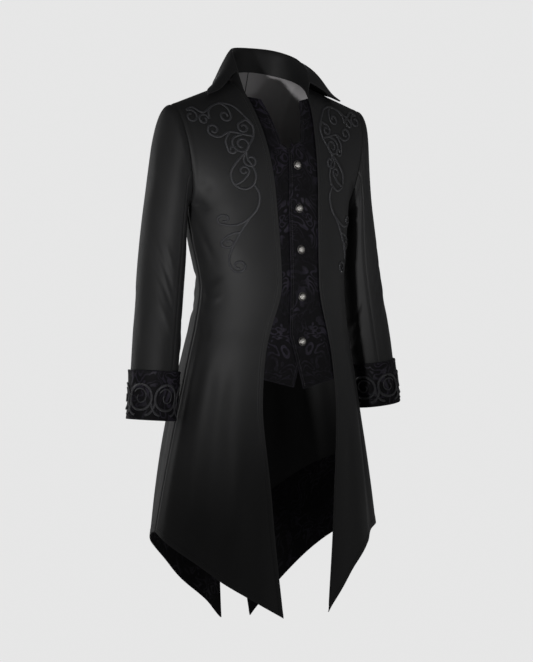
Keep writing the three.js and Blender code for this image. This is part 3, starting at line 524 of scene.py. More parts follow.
def sheet_of_cloth(piece, word, points, hint, cloth, offset=-1.0, wraps=False, wear_and_sheen=None):
    """A grid of points, in millimetres, becomes a solid sheet with its weave laid out in metres.

    It rides on the coat and stands for its CAD node. The collar has no word for its side.
    """
    node = f"{piece}_{word}" if word else piece
    wall_mm, slot_name, (width, length), held, carriers = CUTS[piece]
    rows, columns = points.shape[:2]
    around = run(points, 1) * MM
    along = run(points, 0) * MM
    kept = columns - 1 if wraps else columns
    normal = grid_normals(points, hint)
    at = np.arange(rows * kept).reshape(rows, kept)
    faces, corners_uv = [], []
    r, c = rows // 2, columns // 2
    cross = np.cross(points[r, c + 1] - points[r, c], points[r + 1, c] - points[r, c])
    forward = float(np.dot(cross, normal[r, c])) > 0
    for r in range(rows - 1):
        for c in range(columns - 1):
            d = (c + 1) % kept if wraps else c + 1
            quad = [(r, c, c), (r, d, c + 1), (r + 1, d, c + 1), (r + 1, c, c)]
            if not forward:
                quad.reverse()
            faces.append([int(at[q[0], q[1]]) for q in quad])
            corners_uv.extend((around[q[0], q[2]], -along[q[0], q[2]]) for q in quad)
    thing = make_object(f"{node}_cloth", points[:, :kept].reshape(-1, 3) * MM, faces)
    layer = thing.data.uv_layers.new(name="cloth")
    layer.data.foreach_set("uv", np.array(corners_uv, np.float32).ravel())
    # Per point: its share of the lighter edge colour, from rubbed wear and a painted sheen on turned edges.
    wear_sheen_share = np.zeros((rows, kept)) if wear_and_sheen is None else wear_and_sheen[:, :kept]
    mark = thing.data.attributes.new("wear_and_sheen", "FLOAT", "POINT")
    mark.data.foreach_set("value", wear_sheen_share.astype(np.float32).ravel())
    thing.data.materials.append(cloth)
    pick_only(thing)
    bpy.ops.object.modifier_add(type="SOLIDIFY")
    wall = thing.modifiers[-1]
    wall.thickness = wall_mm * MM
    wall.offset = offset
    wall.use_even_offset = True
    bpy.ops.object.modifier_apply(modifier=wall.name)
    bpy.ops.object.shade_smooth_by_angle(angle=SMOOTH_BELOW)
    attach(thing, "root")
    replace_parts(thing, node)
    return thing


SIDES = [("right", -1), ("left", 1)]


def on_side(points, sign, shift=(0, 0, 0)):
    placed = points + np.array(shift, float)
    placed[..., 0] *= sign
    return placed


print("sheets are made from grids, one solid each")

# %% [markdown]
# ## Finishes
# Black cloth isn't one black. Its weave catches light on each float of thread, the nap scatters a
# little of it at the edges of a fold, and the turned edges are lighter: partly rubbed wear, partly a
# painted sheen. The nodes below work at real scale, because the sheets carry their weave layout in metres.

# %% Node helpers
def add_node(tree, kind, **settings):
    made = tree.nodes.new(kind)
    for key, value in settings.items():
        if hasattr(made, key):
            setattr(made, key, value)
        else:
            set_inputs(made, **{key: value})
    return made


def ramp(tree, source, stops, smooth=False):
    """Colour ramp fed by a socket; stops are (place, colour)."""
    made = tree.nodes.new("ShaderNodeValToRGB")
    if smooth:
        made.color_ramp.interpolation = "EASE"
    while len(made.color_ramp.elements) < len(stops):
        made.color_ramp.elements.new(0.5)
    for element, (place, colour) in zip(made.color_ramp.elements, stops):
        element.position = place
        element.color = (*colour, 1) if len(colour) == 3 else colour
    tree.links.new(source, made.inputs[0])
    return made.outputs[0]


def grey(value):
    return (value, value, value)


def cloth_layout(tree, turn=0.0):
    """The sheet's own layout in metres, turned."""
    layout = add_node(tree, "ShaderNodeUVMap", uv_map="cloth")
    mapping = tree.nodes.new("ShaderNodeMapping")
    mapping.inputs["Rotation"].default_value[2] = turn
    tree.links.new(layout.outputs[0], mapping.inputs[0])
    return mapping.outputs[0]


def noise(tree, vector, scale, detail=2.0, roughness=0.5):
    made = add_node(tree, "ShaderNodeTexNoise", Scale=scale, Detail=detail, Roughness=roughness)
    tree.links.new(vector, made.inputs["Vector"])
    return made.outputs["Fac"]


BAND_METRES = 0.314  # the wave texture's period at a scale of 1


def bands(tree, vector, period, direction="X", distortion=0.0):
    """Even bands with a period in metres."""
    made = add_node(tree, "ShaderNodeTexWave", bands_direction=direction,
                    Scale=BAND_METRES / period, Distortion=distortion)
    tree.links.new(vector, made.inputs["Vector"])
    return made.outputs["Fac"]


def maths(tree, operation, a, b=None):
    made = add_node(tree, "ShaderNodeMath", operation=operation)
    for socket, value in zip(made.inputs, (a, b)):
        if value is None:
            continue
        if isinstance(value, (int, float)):
            socket.default_value = value
        else:
            tree.links.new(value, socket)
    return made.outputs[0]


def blend(tree, a, a_share, b, b_share):
    return maths(tree, "ADD", maths(tree, "MULTIPLY", a, a_share), maths(tree, "MULTIPLY", b, b_share))


def blend_colour(tree, share, a, b):
    made = add_node(tree, "ShaderNodeMix", data_type="RGBA")
    for socket, value in ((made.inputs[0], share), (made.inputs[6], a), (made.inputs[7], b)):
        if isinstance(value, (int, float)):
            socket.default_value = value
        elif isinstance(value, tuple):
            socket.default_value = (*value, 1) if len(value) == 3 else value
        else:
            tree.links.new(value, socket)
    return made.outputs[2]


def bump(tree, height, strength, distance, normal=None):
    made = add_node(tree, "ShaderNodeBump", Strength=strength, Distance=distance)
    tree.links.new(height, made.inputs["Height"])
    if normal is not None:
        tree.links.new(normal, made.inputs["Normal"])
    return made.outputs[0]


# Reads each point's share of rubbed wear and painted edge sheen.
def wear_and_sheen_mark(tree):
    made = add_node(tree, "ShaderNodeAttribute", attribute_name="wear_and_sheen")
    return made.outputs["Fac"]


print("node helpers ready")

# %% [markdown]
# ### Coat cloth
# Cotton sateen is woven with long floats on its face, so it is smooth with a low, broad sheen, and
# its diagonal steps show only from close by. Brushing leaves a short nap that mottles the tone.

# %% Coat cloth
def coat_cloth(name, dark, light, sheen):
    material, tree, shader = shown_material(name)
    flat = cloth_layout(tree)
    diagonal = bands(tree, cloth_layout(tree, turn=math.radians(63)), 0.00075)
    thread = bands(tree, flat, 0.00042, "Y", distortion=0.4)
    weave = blend(tree, diagonal, 0.7, thread, 0.3)
    nap = noise(tree, flat, 420, detail=4, roughness=0.65)
    broad = noise(tree, flat, 9, detail=3, roughness=0.55)
    tone = blend(tree, broad, 0.65, nap, 0.35)
    colour = ramp(tree, tone, [(0.32, dark), (0.72, light)])
    # Turned edges get a lighter colour: rubbed wear and a painted sheen.
    rubbed_and_sheen_colour = tuple(c * 1.7 for c in light)
    colour = blend_colour(tree, maths(tree, "MULTIPLY", wear_and_sheen_mark(tree), 0.55), colour, rubbed_and_sheen_colour)
    tree.links.new(colour, shader.inputs["Base Color"])
    rough = maths(tree, "ADD", maths(tree, "MULTIPLY", broad, 0.12), 0.52)
    tree.links.new(rough, shader.inputs["Roughness"])
    soft = bump(tree, noise(tree, flat, 34, detail=3), 0.22, 0.0011)
    close = bump(tree, weave, 0.35, 0.00012, soft)
    tree.links.new(bump(tree, nap, 0.18, 0.0003, close), shader.inputs["Normal"])
    set_inputs(shader, Specular_IOR_Level=0.25, Sheen_Weight=sheen, Sheen_Roughness=0.42,
               Sheen_Tint=(0.86, 0.88, 0.92, 1))
    return material


sateen = coat_cloth("black_sateen", (0.0060, 0.0060, 0.0063), (0.0115, 0.0114, 0.0118), 0.03)
print("coat cloth:", sateen.name)

# %% [markdown]
# ### Jacquard
# A jacquard loom lifts single threads, so a shiny satin figure lies on a dull ground of the same
# black. The figure here is a plain old one: fine stems that curl beside each other. They are the
# contour lines of a slow, twisted noise, and a second noise lets them come and go.

# %% Jacquard cloth
def jacquard_cloth(name, strength=1.0):
    material, tree, shader = shown_material(name)
    flat = cloth_layout(tree)
    field = add_node(tree, "ShaderNodeTexNoise", Scale=21, Detail=1.2, Roughness=0.45, Distortion=1.3)
    tree.links.new(flat, field.inputs["Vector"])
    stems = maths(tree, "SINE", maths(tree, "MULTIPLY", field.outputs["Fac"], 46.0))
    leaves = noise(tree, flat, 62, detail=1.5)
    figure = maths(tree, "ADD", stems, maths(tree, "MULTIPLY", leaves, 0.9))
    shape = ramp(tree, figure, [(0.72, grey(0)), (1.0, grey(1))], smooth=True)
    slow = noise(tree, flat, 15, detail=2)
    patches = ramp(tree, slow, [(0.38, grey(0.12)), (0.66, grey(1))], smooth=True)
    figured = maths(tree, "MULTIPLY", shape, patches)
    thread = bands(tree, flat, 0.0008, "Y", distortion=0.3)
    cross_thread = bands(tree, flat, 0.0006, "X", distortion=0.3)
    tone = noise(tree, flat, 180, detail=3)
    ground = ramp(tree, tone, [(0.3, (0.0010, 0.0009, 0.0014)), (0.7, (0.0022, 0.0019, 0.0030))])
    satin = ramp(tree, tone, [(0.3, (0.0085, 0.0070, 0.0115)), (0.7, (0.0210, 0.0180, 0.0280))])
    colour = blend_colour(tree, maths(tree, "MULTIPLY", figured, strength), ground, satin)
    # Turned edges get a lighter colour: rubbed wear and a painted sheen.
    wear_sheen_share = maths(tree, "MULTIPLY", wear_and_sheen_mark(tree), 0.4)
    colour = blend_colour(tree, wear_sheen_share, colour, (0.014, 0.013, 0.017))
    tree.links.new(colour, shader.inputs["Base Color"])
    tree.links.new(ramp(tree, figured, [(0.0, grey(0.68)), (1.0, grey(0.42))]), shader.inputs["Roughness"])
    raised = bump(tree, shape, 0.5 * strength, 0.0005)
    fine = bump(tree, maths(tree, "ADD", thread, cross_thread), 0.25, 0.00012, raised)
    soft = bump(tree, noise(tree, flat, 55, detail=3), 0.25, 0.0012, fine)
    tree.links.new(soft, shader.inputs["Normal"])
    set_inputs(shader, Specular_IOR_Level=0.14, Sheen_Weight=0.02, Sheen_Roughness=0.35,
               Sheen_Tint=(0.80, 0.76, 0.92, 1))
    return material


jacquard = jacquard_cloth("violet_black_jacquard")
facing_jacquard = jacquard_cloth("shaded_jacquard", 0.6)
print("jacquard:", jacquard.name)

# %% [markdown]
# ### Lining, cord, thread and silver
# The lining is a plain dark grey satin, smoother than the coat cloth. The cord is twisted; its slanting
# glints and the shade between its strands are painted into its colour along the twist, as on the thread.
# The buttons are cast and antiqued: dark in the hollows and rubbed bright on the high parts.

# %% Lining, cord and thread
def lining_cloth(name):
    material, tree, shader = shown_material(name)
    flat = cloth_layout(tree)
    broad = noise(tree, flat, 7, detail=2)
    colour = ramp(tree, broad, [(0.3, (0.26, 0.252, 0.256)), (0.75, (0.34, 0.33, 0.334))])
    tree.links.new(colour, shader.inputs["Base Color"])
    thread = bands(tree, flat, 0.0005, "Y", distortion=0.2)
    soft = bump(tree, noise(tree, flat, 26, detail=2), 0.25, 0.0014)
    tree.links.new(bump(tree, thread, 0.2, 0.0001, soft), shader.inputs["Normal"])
    rough = maths(tree, "ADD", maths(tree, "MULTIPLY", broad, 0.15), 0.34)
    tree.links.new(rough, shader.inputs["Roughness"])
    set_inputs(shader, Sheen_Weight=0.06, Specular_IOR_Level=0.45)
    return material


def twisted(name, low, high, pitch, strength):
    material, tree, shader = shown_material(name)
    layout = cloth_layout(tree, turn=math.radians(38))
    twist_glint_and_shade = bands(tree, layout, pitch, "X", distortion=0.3)
    # The colour runs from dark to light across each twist band: painted shade between the strands, painted
    # glints along them.
    colour = ramp(tree, twist_glint_and_shade, [(0.15, low), (0.85, high)])
    tree.links.new(colour, shader.inputs["Base Color"])
    tree.links.new(bump(tree, twist_glint_and_shade, strength, 0.0005), shader.inputs["Normal"])
    set_inputs(shader, Roughness=0.42, Sheen_Weight=0.05, Specular_IOR_Level=0.4, Sheen_Roughness=0.35)
    return material


lining = lining_cloth("grey_lining_satin")
# Cord and thread: their own near-black, spread from painted shade between the strands to painted glints along
# them.
silk_cord = twisted("silk_cord", (0.004, 0.004, 0.005), (0.036, 0.036, 0.041), 0.0021, 0.9)
sewing_thread = twisted("sewing_thread", (0.006, 0.006, 0.0065), (0.020, 0.020, 0.022), 0.0008, 0.5)
print("lining, cord and thread ready")

# %% Antique silver
silver, tree, shader = shown_material("antique_silver")
spot = tree.nodes.new("ShaderNodeTexCoord").outputs["Object"]
grain = noise(tree, spot, 900, detail=4, roughness=0.6)
relief = add_node(tree, "ShaderNodeAttribute", attribute_name="relief").outputs["Fac"]
tarnish = maths(tree, "ADD", relief, maths(tree, "MULTIPLY", grain, 0.35))
tones = [(0.30, (0.010, 0.009, 0.009)), (0.62, (0.22, 0.21, 0.20)), (1.0, (0.78, 0.76, 0.72))]
tree.links.new(ramp(tree, tarnish, tones), shader.inputs["Base Color"])
tree.links.new(ramp(tree, tarnish, [(0.2, grey(0.7)), (1.0, grey(0.34))]), shader.inputs["Roughness"])
tree.links.new(bump(tree, grain, 0.25, 0.0002), shader.inputs["Normal"])
set_inputs(shader, Metallic=1.0)
print("silver ready")

# %% [markdown]
# ## Coat fronts
# Each front is cut in one from the shoulder to the pointed tail. Its front edge is turned in and
# stitched 9 mm from the edge. The cloth drags a little from the armpit, crumples at the waist and
# opens into long folds that run out through the hem.

# %% Creases of the fronts: line of (share across, mm down), width, height, runs out at the hem
FRONT_CREASES = {
    "right": [
        ([(0.40, 455), (0.42, 660), (0.47, 1000)], 30, -5.0, True),
        ([(0.60, 430), (0.63, 640), (0.66, 940)], 26, 3.6, True),
        ([(0.86, 430), (0.88, 640), (0.89, 900)], 20, 2.4, True),
        ([(0.22, 560), (0.24, 780), (0.27, 1010)], 24, 2.6, True),
        ([(0.99, 178), (0.82, 196), (0.60, 205)], 9, -2.4, False),
        ([(0.98, 140), (0.80, 160), (0.62, 158)], 8, -1.6, False),
        ([(0.95, 225), (0.80, 262), (0.66, 330)], 12, -1.8, False),
        ([(0.98, 330), (0.80, 342), (0.58, 336)], 9, -2.0, False),
        ([(0.97, 362), (0.76, 380), (0.60, 378)], 8, 1.5, False),
        ([(0.42, 150), (0.46, 240), (0.50, 330)], 24, 1.6, False),
        ([(0.97, 405), (0.80, 432), (0.70, 470)], 10, -1.6, False),
    ],
    "left": [
        ([(0.34, 450), (0.38, 650), (0.42, 1000)], 22, 3.8, True),
        ([(0.50, 440), (0.54, 660), (0.58, 960)], 17, -4.4, True),
        ([(0.68, 430), (0.72, 640), (0.76, 920)], 22, 3.6, True),
        ([(0.87, 450), (0.88, 640), (0.90, 900)], 14, -3.6, True),
        ([(0.16, 600), (0.18, 800), (0.20, 1010)], 18, -2.0, True),
        ([(0.99, 172), (0.84, 190), (0.64, 196)], 9, -2.2, False),
        ([(0.98, 128), (0.82, 150), (0.66, 150)], 8, -1.4, False),
        ([(0.96, 238), (0.78, 280), (0.64, 350)], 13, -2.0, False),
        ([(0.98, 342), (0.78, 350), (0.60, 342)], 9, -1.8, False),
        ([(0.96, 378), (0.80, 392), (0.62, 396)], 8, 1.3, False),
        ([(0.46, 170), (0.50, 250), (0.52, 320)], 22, 1.4, False),
    ],
}

# %% Coat fronts
PANEL_COLUMNS, KINK_ROWS = 62, 9
# Widths in mm of the lighter edge colour: rubbed wear and a painted sheen.
EDGE_WEAR_SHEEN, HEM_WEAR_SHEEN = 2.2, 2.4
along_rows = rows_down(64, 150, 760)
arm_row = int(np.argmin(abs(along_rows - ARM_SHARE)))
coarse = np.linspace(0, 1, 48)
front_cloth, front_grid = {}, {}
for word, sign in SIDES:
    outline = coat_front(coarse[None, :], along_rows[:, None], word)
    lengths = run(outline, 1)[:, -1]
    share = shares_across(lengths, PANEL_COLUMNS)
    along = np.repeat(along_rows[:, None], share.shape[1], 1)
    base = sweep_kink(coat_front(share, along, word), arm_row, KINK_ROWS)
    gaps = walk, far_gap, top_gap, hem_gap = edge_gaps(base)
    creases = crease_heights(share, -base[..., 2], lengths, FRONT_CREASES[word])
    height = creases * free_cloth(gaps, 0)
    height += stitched_edge(walk) + pressed_seam(far_gap)
    height += stitched_edge(hem_gap, HEM_LINE)
    points = base + grid_normals(base, FRONT) * height[..., None]
    # Lighter front edge and hem: rubbed wear and a painted sheen.
    wear_and_sheen = np.clip(edge_wear_and_sheen(walk, EDGE_WEAR_SHEEN) + edge_wear_and_sheen(hem_gap, HEM_WEAR_SHEEN), 0, 1)
    front_grid[word] = on_side(points, sign, (0, -HALF_GAP, 0))
    front_cloth[word] = sheet_of_cloth("coat_front", word, front_grid[word], FRONT, sateen, wear_and_sheen=wear_and_sheen)

# %% [markdown]
# ## Coat backs and their lining
# The two backs meet in a centre seam that opens below the seat into a long vent. Inside the neck
# and shoulder blades lies a satin lining, and each pointed tail is faced with jacquard. Lining and
# facing follow the back's own creases, because they are sewn to it.

# %% Creases of the backs
BACK_CREASES = {
    "right": [
        ([(0.36, 470), (0.40, 700), (0.42, 1010)], 34, -4.2, True),
        ([(0.60, 450), (0.64, 680), (0.68, 960)], 30, 3.4, True),
        ([(0.82, 460), (0.85, 680), (0.87, 900)], 18, -2.2, True),
        ([(0.98, 165), (0.80, 190), (0.55, 205)], 10, -2.6, False),
        ([(0.97, 120), (0.82, 150), (0.66, 170)], 8, -1.6, False),
        ([(0.97, 322), (0.72, 338), (0.35, 330)], 11, -2.6, False),
        ([(0.95, 352), (0.70, 372), (0.42, 370)], 9, 1.8, False),
        ([(0.96, 390), (0.74, 402), (0.50, 396)], 9, -1.8, False),
        ([(0.60, 30), (0.58, 90), (0.50, 160)], 20, 1.5, False),
        ([(0.30, 210), (0.34, 270), (0.38, 310)], 16, -1.6, False),
    ],
    "left": [
        ([(0.30, 480), (0.34, 700), (0.38, 1015)], 32, -3.8, True),
        ([(0.54, 455), (0.57, 680), (0.62, 970)], 30, 3.8, True),
        ([(0.78, 450), (0.82, 690), (0.84, 910)], 20, -2.4, True),
        ([(0.98, 158), (0.82, 185), (0.58, 196)], 10, -2.4, False),
        ([(0.97, 112), (0.84, 140), (0.70, 165)], 8, -1.5, False),
        ([(0.97, 330), (0.70, 346), (0.38, 342)], 11, -2.4, False),
        ([(0.96, 362), (0.72, 380), (0.46, 382)], 9, 1.7, False),
        ([(0.62, 40), (0.58, 100), (0.52, 170)], 18, 1.3, False),
        ([(0.26, 220), (0.30, 280), (0.33, 320)], 14, -1.4, False),
    ],
}

# %% Coat backs
VENT_TURNED = 40
LAST_LEVEL, LINING_LEVEL, FACING_LEVEL, LINED_SHARE = 13, 2, 10, 0.89
PATCHES = [
    # piece, first and last share of the way down, cloth
    ("back_lining", 0, ARM_SHARE + LINING_LEVEL / LAST_LEVEL * (1 - ARM_SHARE), lining),
    ("tail_facing", ARM_SHARE + FACING_LEVEL / LAST_LEVEL * (1 - ARM_SHARE), 1, facing_jacquard),
]
back_grid = {}
for word, sign in SIDES:
    outline = coat_back(coarse[None, :], along_rows[:, None])
    lengths = run(outline, 1)[:, -1]
    share = shares_across(lengths, PANEL_COLUMNS)
    along = np.repeat(along_rows[:, None], share.shape[1], 1)
    base = sweep_kink(coat_back(share, along), arm_row, KINK_ROWS)
    normal = grid_normals(base, BACK)
    gaps = walk, far_gap, top_gap, hem_gap = edge_gaps(base)
    vented = ease(-VENT_TOP_Z, -VENT_TOP_Z + VENT_TURNED, -base[..., 2])
    creases = crease_heights(share, -base[..., 2], lengths, BACK_CREASES[word]) * free_cloth(gaps, 3)
    edges = mix(pressed_seam(walk), stitched_edge(walk), vented) + pressed_seam(far_gap)
    edges += stitched_edge(hem_gap, HEM_LINE)
    points = base + normal * (creases + edges)[..., None]
    # Lighter vent edge and hem: rubbed wear and a painted sheen.
    wear_and_sheen = np.clip(edge_wear_and_sheen(walk, EDGE_WEAR_SHEEN) * vented + edge_wear_and_sheen(hem_gap, HEM_WEAR_SHEEN), 0, 1)
    back_grid[word] = on_side(points, sign, (HALF_GAP, HALF_GAP, 0))
    sheet_of_cloth("coat_back", word, back_grid[word], BACK, sateen, wear_and_sheen=wear_and_sheen)

    inner = base + normal * (creases - UNDER_BACK)[..., None]
    inner = on_side(inner, sign, (HALF_GAP, HALF_GAP, 0))
    inner = inner[:, :int(np.argmax(share[arm_row] > LINED_SHARE))]
    for piece, first, last, cloth in PATCHES:
        covered = (along_rows >= first - 1e-6) & (along_rows <= last + 1e-6)
        sheet_of_cloth(piece, word, inner[covered], FRONT, cloth)

# %% [markdown]
# ## Sleeves
# A tailored sleeve has an upper and an under piece, so that it bends forward as an arm does. Its
# rings run from the armhole to the wrist; between them the table is read smoothly. The head is
# eased into the armhole, and a few soft creases gather in the bend of the elbow.

# %% Sleeve and cuff tables, in millimetres
SLEEVE = rows_of("outer_x outer_z inner_x inner_z half_y centre_y", [
    (218, 0, 184, -200, 45, -3), (226, -3, 185.5, -203, 49, -1), (233, -14, 187.5, -208, 52, 1),
    (239, -36, 189, -215, 54, 4), (245, -72, 189.5, -224, 56, 7), (251, -114, 189, -236, 57, 9),
    (257, -159, 188, -252, 57, 11), (263, -206, 187, -272, 57, 13), (268, -254, 186.5, -296, 57, 14),
    (274, -304, 188, -326, 56, 14), (280, -354, 192, -364, 55, 12), (286, -404, 197, -406, 54, 9),
    (293, -454, 203, -454, 52, 4), (300, -504, 209, -504, 50, -1), (306, -554, 215, -554, 48, -5),
    (311, -606, 221, -606, 47, -8),
])
CUFF = rows_of("outer_x outer_z inner_x inner_z half_y centre_y", [
    (307, -520, 206, -520, 53, -2), (310, -552, 211, -552, 52, -5),
    (314, -588, 216, -588, 51, -7), (316, -616, 219, -616, 50, -8),
])
UNDER_ANGLE = 1.85
ARM_RAISE = {"right": 0, "left": 11}
CUFF_TILT = {"right": 3, "left": 7}
WRIST_LIFT = {"right": 0, "left": 7}
UPPER_ARM_BACK = {"right": 0, "left": 13}
ELBOW_Z, WRIST_Z = -330, -606


def ring_surface(rings, angle, place, word):
    """Point of a sleeve or cuff: place counts its rings, angle goes round the arm."""
    knots = np.arange(len(rings["half_y"]), dtype=float)
    r = {name: glide(knots, values, place) for name, values in rings.items()}
    x = (r["outer_x"] + r["inner_x"]) / 2 + (r["outer_x"] - r["inner_x"]) / 2 * np.cos(angle)
    y = r["centre_y"] - r["half_y"] * np.sin(angle)
    z = (r["outer_z"] + r["inner_z"]) / 2 + (r["outer_z"] - r["inner_z"]) / 2 * np.cos(angle)
    low = ease(-ARMPIT_Z, -WRIST_Z, -z)
    bend = np.sin(math.pi * np.clip(z / ELBOW_Z, 0, 1)) ** 2
    y = y + UPPER_ARM_BACK[word] * bend * (1 + np.cos(angle)) / 2
    cuffed = ease(540, 616, -z)
    z = z + ARM_RAISE[word] * low + CUFF_TILT[word] * low * np.cos(angle) + WRIST_LIFT[word] * cuffed
    return stack(x, y, z)


def ring_middle(rings, place):
    knots = np.arange(len(rings["half_y"]), dtype=float)
    r = {name: glide(knots, values, place) for name, values in rings.items()}
    return stack((r["outer_x"] + r["inner_x"]) / 2, r["centre_y"], (r["outer_z"] + r["inner_z"]) / 2)


# %% Creases of the sleeves: line of (share round, mm down), width, height, runs out at the wrist
SLEEVE_CREASES = {
    "sleeve_upper_right": [
        ([(0.97, 250), (0.80, 268), (0.60, 262)], 9, -2.4, False),
        ([(0.98, 292), (0.78, 300), (0.55, 318)], 8, -2.2, False),
        ([(0.97, 326), (0.82, 344), (0.66, 350)], 8, 1.6, False),
        ([(0.95, 205), (0.84, 225), (0.70, 228)], 9, 1.6, False),
        ([(0.30, 60), (0.34, 160), (0.36, 260)], 16, -1.5, False),
        ([(0.55, 70), (0.58, 180), (0.52, 300)], 20, 1.6, False),
        ([(0.20, 330), (0.34, 380), (0.40, 450)], 13, -1.4, False),
        ([(0.70, 380), (0.60, 430), (0.58, 490)], 12, 1.4, False),
        ([(0.05, 250), (0.20, 270), (0.32, 268)], 9, -1.6, False),
    ],
    "sleeve_upper_left": [
        ([(0.97, 242), (0.82, 258), (0.62, 256)], 9, -2.4, False),
        ([(0.98, 280), (0.80, 292), (0.58, 306)], 8, -2.0, False),
        ([(0.96, 318), (0.80, 332), (0.64, 340)], 9, 1.6, False),
        ([(0.40, 80), (0.42, 170), (0.40, 280)], 17, -1.6, False),
        ([(0.62, 90), (0.60, 200), (0.54, 300)], 20, 1.5, False),
        ([(0.28, 340), (0.38, 390), (0.44, 460)], 13, -1.3, False),
        ([(0.74, 370), (0.66, 430), (0.62, 490)], 12, 1.5, False),
        ([(0.04, 260), (0.18, 276), (0.30, 272)], 9, -1.5, False),
    ],
    "sleeve_under_right": [
        ([(0.05, 240), (0.30, 252), (0.55, 250)], 9, -2.2, False),
        ([(0.10, 288), (0.35, 296), (0.60, 300)], 8, 1.6, False),
        ([(0.70, 330), (0.60, 380), (0.55, 440)], 12, -1.5, False),
        ([(0.40, 60), (0.45, 120), (0.50, 190)], 12, -1.6, False),
    ],
    "sleeve_under_left": [
        ([(0.06, 234), (0.32, 246), (0.58, 244)], 9, -2.0, False),
        ([(0.12, 280), (0.38, 290), (0.62, 296)], 8, 1.5, False),
        ([(0.66, 330), (0.58, 390), (0.54, 450)], 12, -1.5, False),
        ([(0.44, 50), (0.46, 120), (0.52, 180)], 12, -1.5, False),
    ],
}

# %% Sleeves
PLACES = len(SLEEVE["half_y"]) - 1
SLEEVE_PARTS = [
    # piece, first and last angle round the arm, columns
    ("sleeve_upper", -UNDER_ANGLE, UNDER_ANGLE, 52),
    ("sleeve_under", UNDER_ANGLE, 2 * math.pi - UNDER_ANGLE, 34),
]
HEAD_SINK, UNDER_CUFF_SINK = 0.7, 0.4
sleeve_places = np.concatenate([np.linspace(0, 4, 44)[:-1], np.linspace(4, PLACES, 104)])
for word, sign in SIDES:
    for piece, first, last, count in SLEEVE_PARTS:
        place = sleeve_places[:, None]
        outline = ring_surface(SLEEVE, mix(first, last, coarse)[None, :], place, word)
        lengths = run(outline, 1)[:, -1]
        share = shares_across(lengths, count)
        base = ring_surface(SLEEVE, mix(first, last, share), place, word)
        away_from = base - ring_middle(SLEEVE, place)
        normal = grid_normals(base, away_from)
        walk, far_gap, down, _ = edge_gaps(base)
        free = ease(2, 26, walk) * ease(2, 26, far_gap) * ease(8, 60, down)
        height = crease_heights(share, down, lengths, SLEEVE_CREASES[f"{piece}_{word}"]) * free
        height += pressed_seam(walk) + pressed_seam(far_gap) - HEAD_SINK * np.exp(-(down / 2.5) ** 2)
        bare = ease(-540, -520, base[..., 2])
        height = height * bare - UNDER_CUFF_SINK * (1 - bare)
        placed = on_side(base + normal * height[..., None], sign, (SLEEVE_SHIFT, 0, 0))
        sheet_of_cloth(piece, word, placed, on_side(away_from, sign), sateen)

# %% [markdown]
# ## Cuffs
# The wide cuffs are turned back over the sleeve and stitched at their top edge. They are stiffened,
# so they keep a clean line with only a slow wave in it.

# %% Cuffs
CUFF_DEPTH, CUFF_RINGS, CUFF_WEAR_SHEEN = 96, 3, 1.8
cuff_band = BAND[:13] / CUFF_DEPTH * CUFF_RINGS
between = np.linspace(cuff_band[-1], CUFF_RINGS - cuff_band[-1], 30)[1:-1]
cuff_places = np.concatenate([cuff_band, between, CUFF_RINGS - cuff_band[::-1]])
for word, sign in SIDES:
    angle = np.linspace(0, 2 * math.pi, 161)[None, :]
    place = cuff_places[:, None]
    base = ring_surface(CUFF, angle, place, word)
    away_from = base - ring_middle(CUFF, place)
    normal = grid_normals(base, away_from)
    _, _, down, up_gap = edge_gaps(base)
    wave = 0.5 * np.sin(3 * angle + 0.8) * np.sin(place * 1.1) + 0.3 * np.sin(7 * angle + place * 1.3)
    height = wave + stitched_edge(down, NARROW_LINE) + stitched_edge(up_gap, NARROW_LINE)
    placed = on_side(base + normal * height[..., None], sign, (SLEEVE_SHIFT, 0, 0))
    placed[:, -1] = placed[:, 0]
    # Lighter cuff edges: rubbed wear and a painted sheen.
    wear_and_sheen = np.clip(edge_wear_and_sheen(down, CUFF_WEAR_SHEEN) + edge_wear_and_sheen(up_gap, CUFF_WEAR_SHEEN), 0, 1)
    sheet_of_cloth("cuff", word, placed, on_side(away_from, sign), jacquard, wraps=True, wear_and_sheen=wear_and_sheen)

# %% [markdown]
# ## Waistcoat front
# Only the front of the waistcoat is real: two pieces of jacquard sewn in under the coat's edges.
# The left laps over the right and carries the buttons. Between two buttons the lap pulls into
# short, shallow puckers.

# %% Waistcoat
LAP = {
    "left": rows_of("z x", [(14, 45), (-30, 31), (-68, 21), (-84, -14), (-200, -21), (-450, -25), (-557, 2)]),
    "right": rows_of("z x", [(16, 46), (-30, 35), (-76, 26), (-90, 4), (-120, -12), (-460, -12), (-554, 18)]),
}
PUCKERS = {
    "left": [([(0.10 + 0.02 * (i % 3), z), (0.34, z + 6 - 4 * (i % 2)), (0.60, z - 3)],
              6 + i % 3, (-1.1, 0.8)[i % 2], False)
             for i, z in enumerate((150, 178, 232, 262, 318, 352, 408, 436, 492))],
    "right": [([(0.20, z), (0.45, z + 5), (0.70, z - 5)], 7, (-1.0, 0.7)[i % 2], False)
              for i, z in enumerate((140, 190, 245, 300, 350, 410, 470))],
}
SEWN_UNDER, LAP_LENGTH, LAP_WEAR_SHEEN = 30, 571, 1.6


def straight_at(rows, column, z):
    return np.interp(-z, -rows["z"], rows[column])


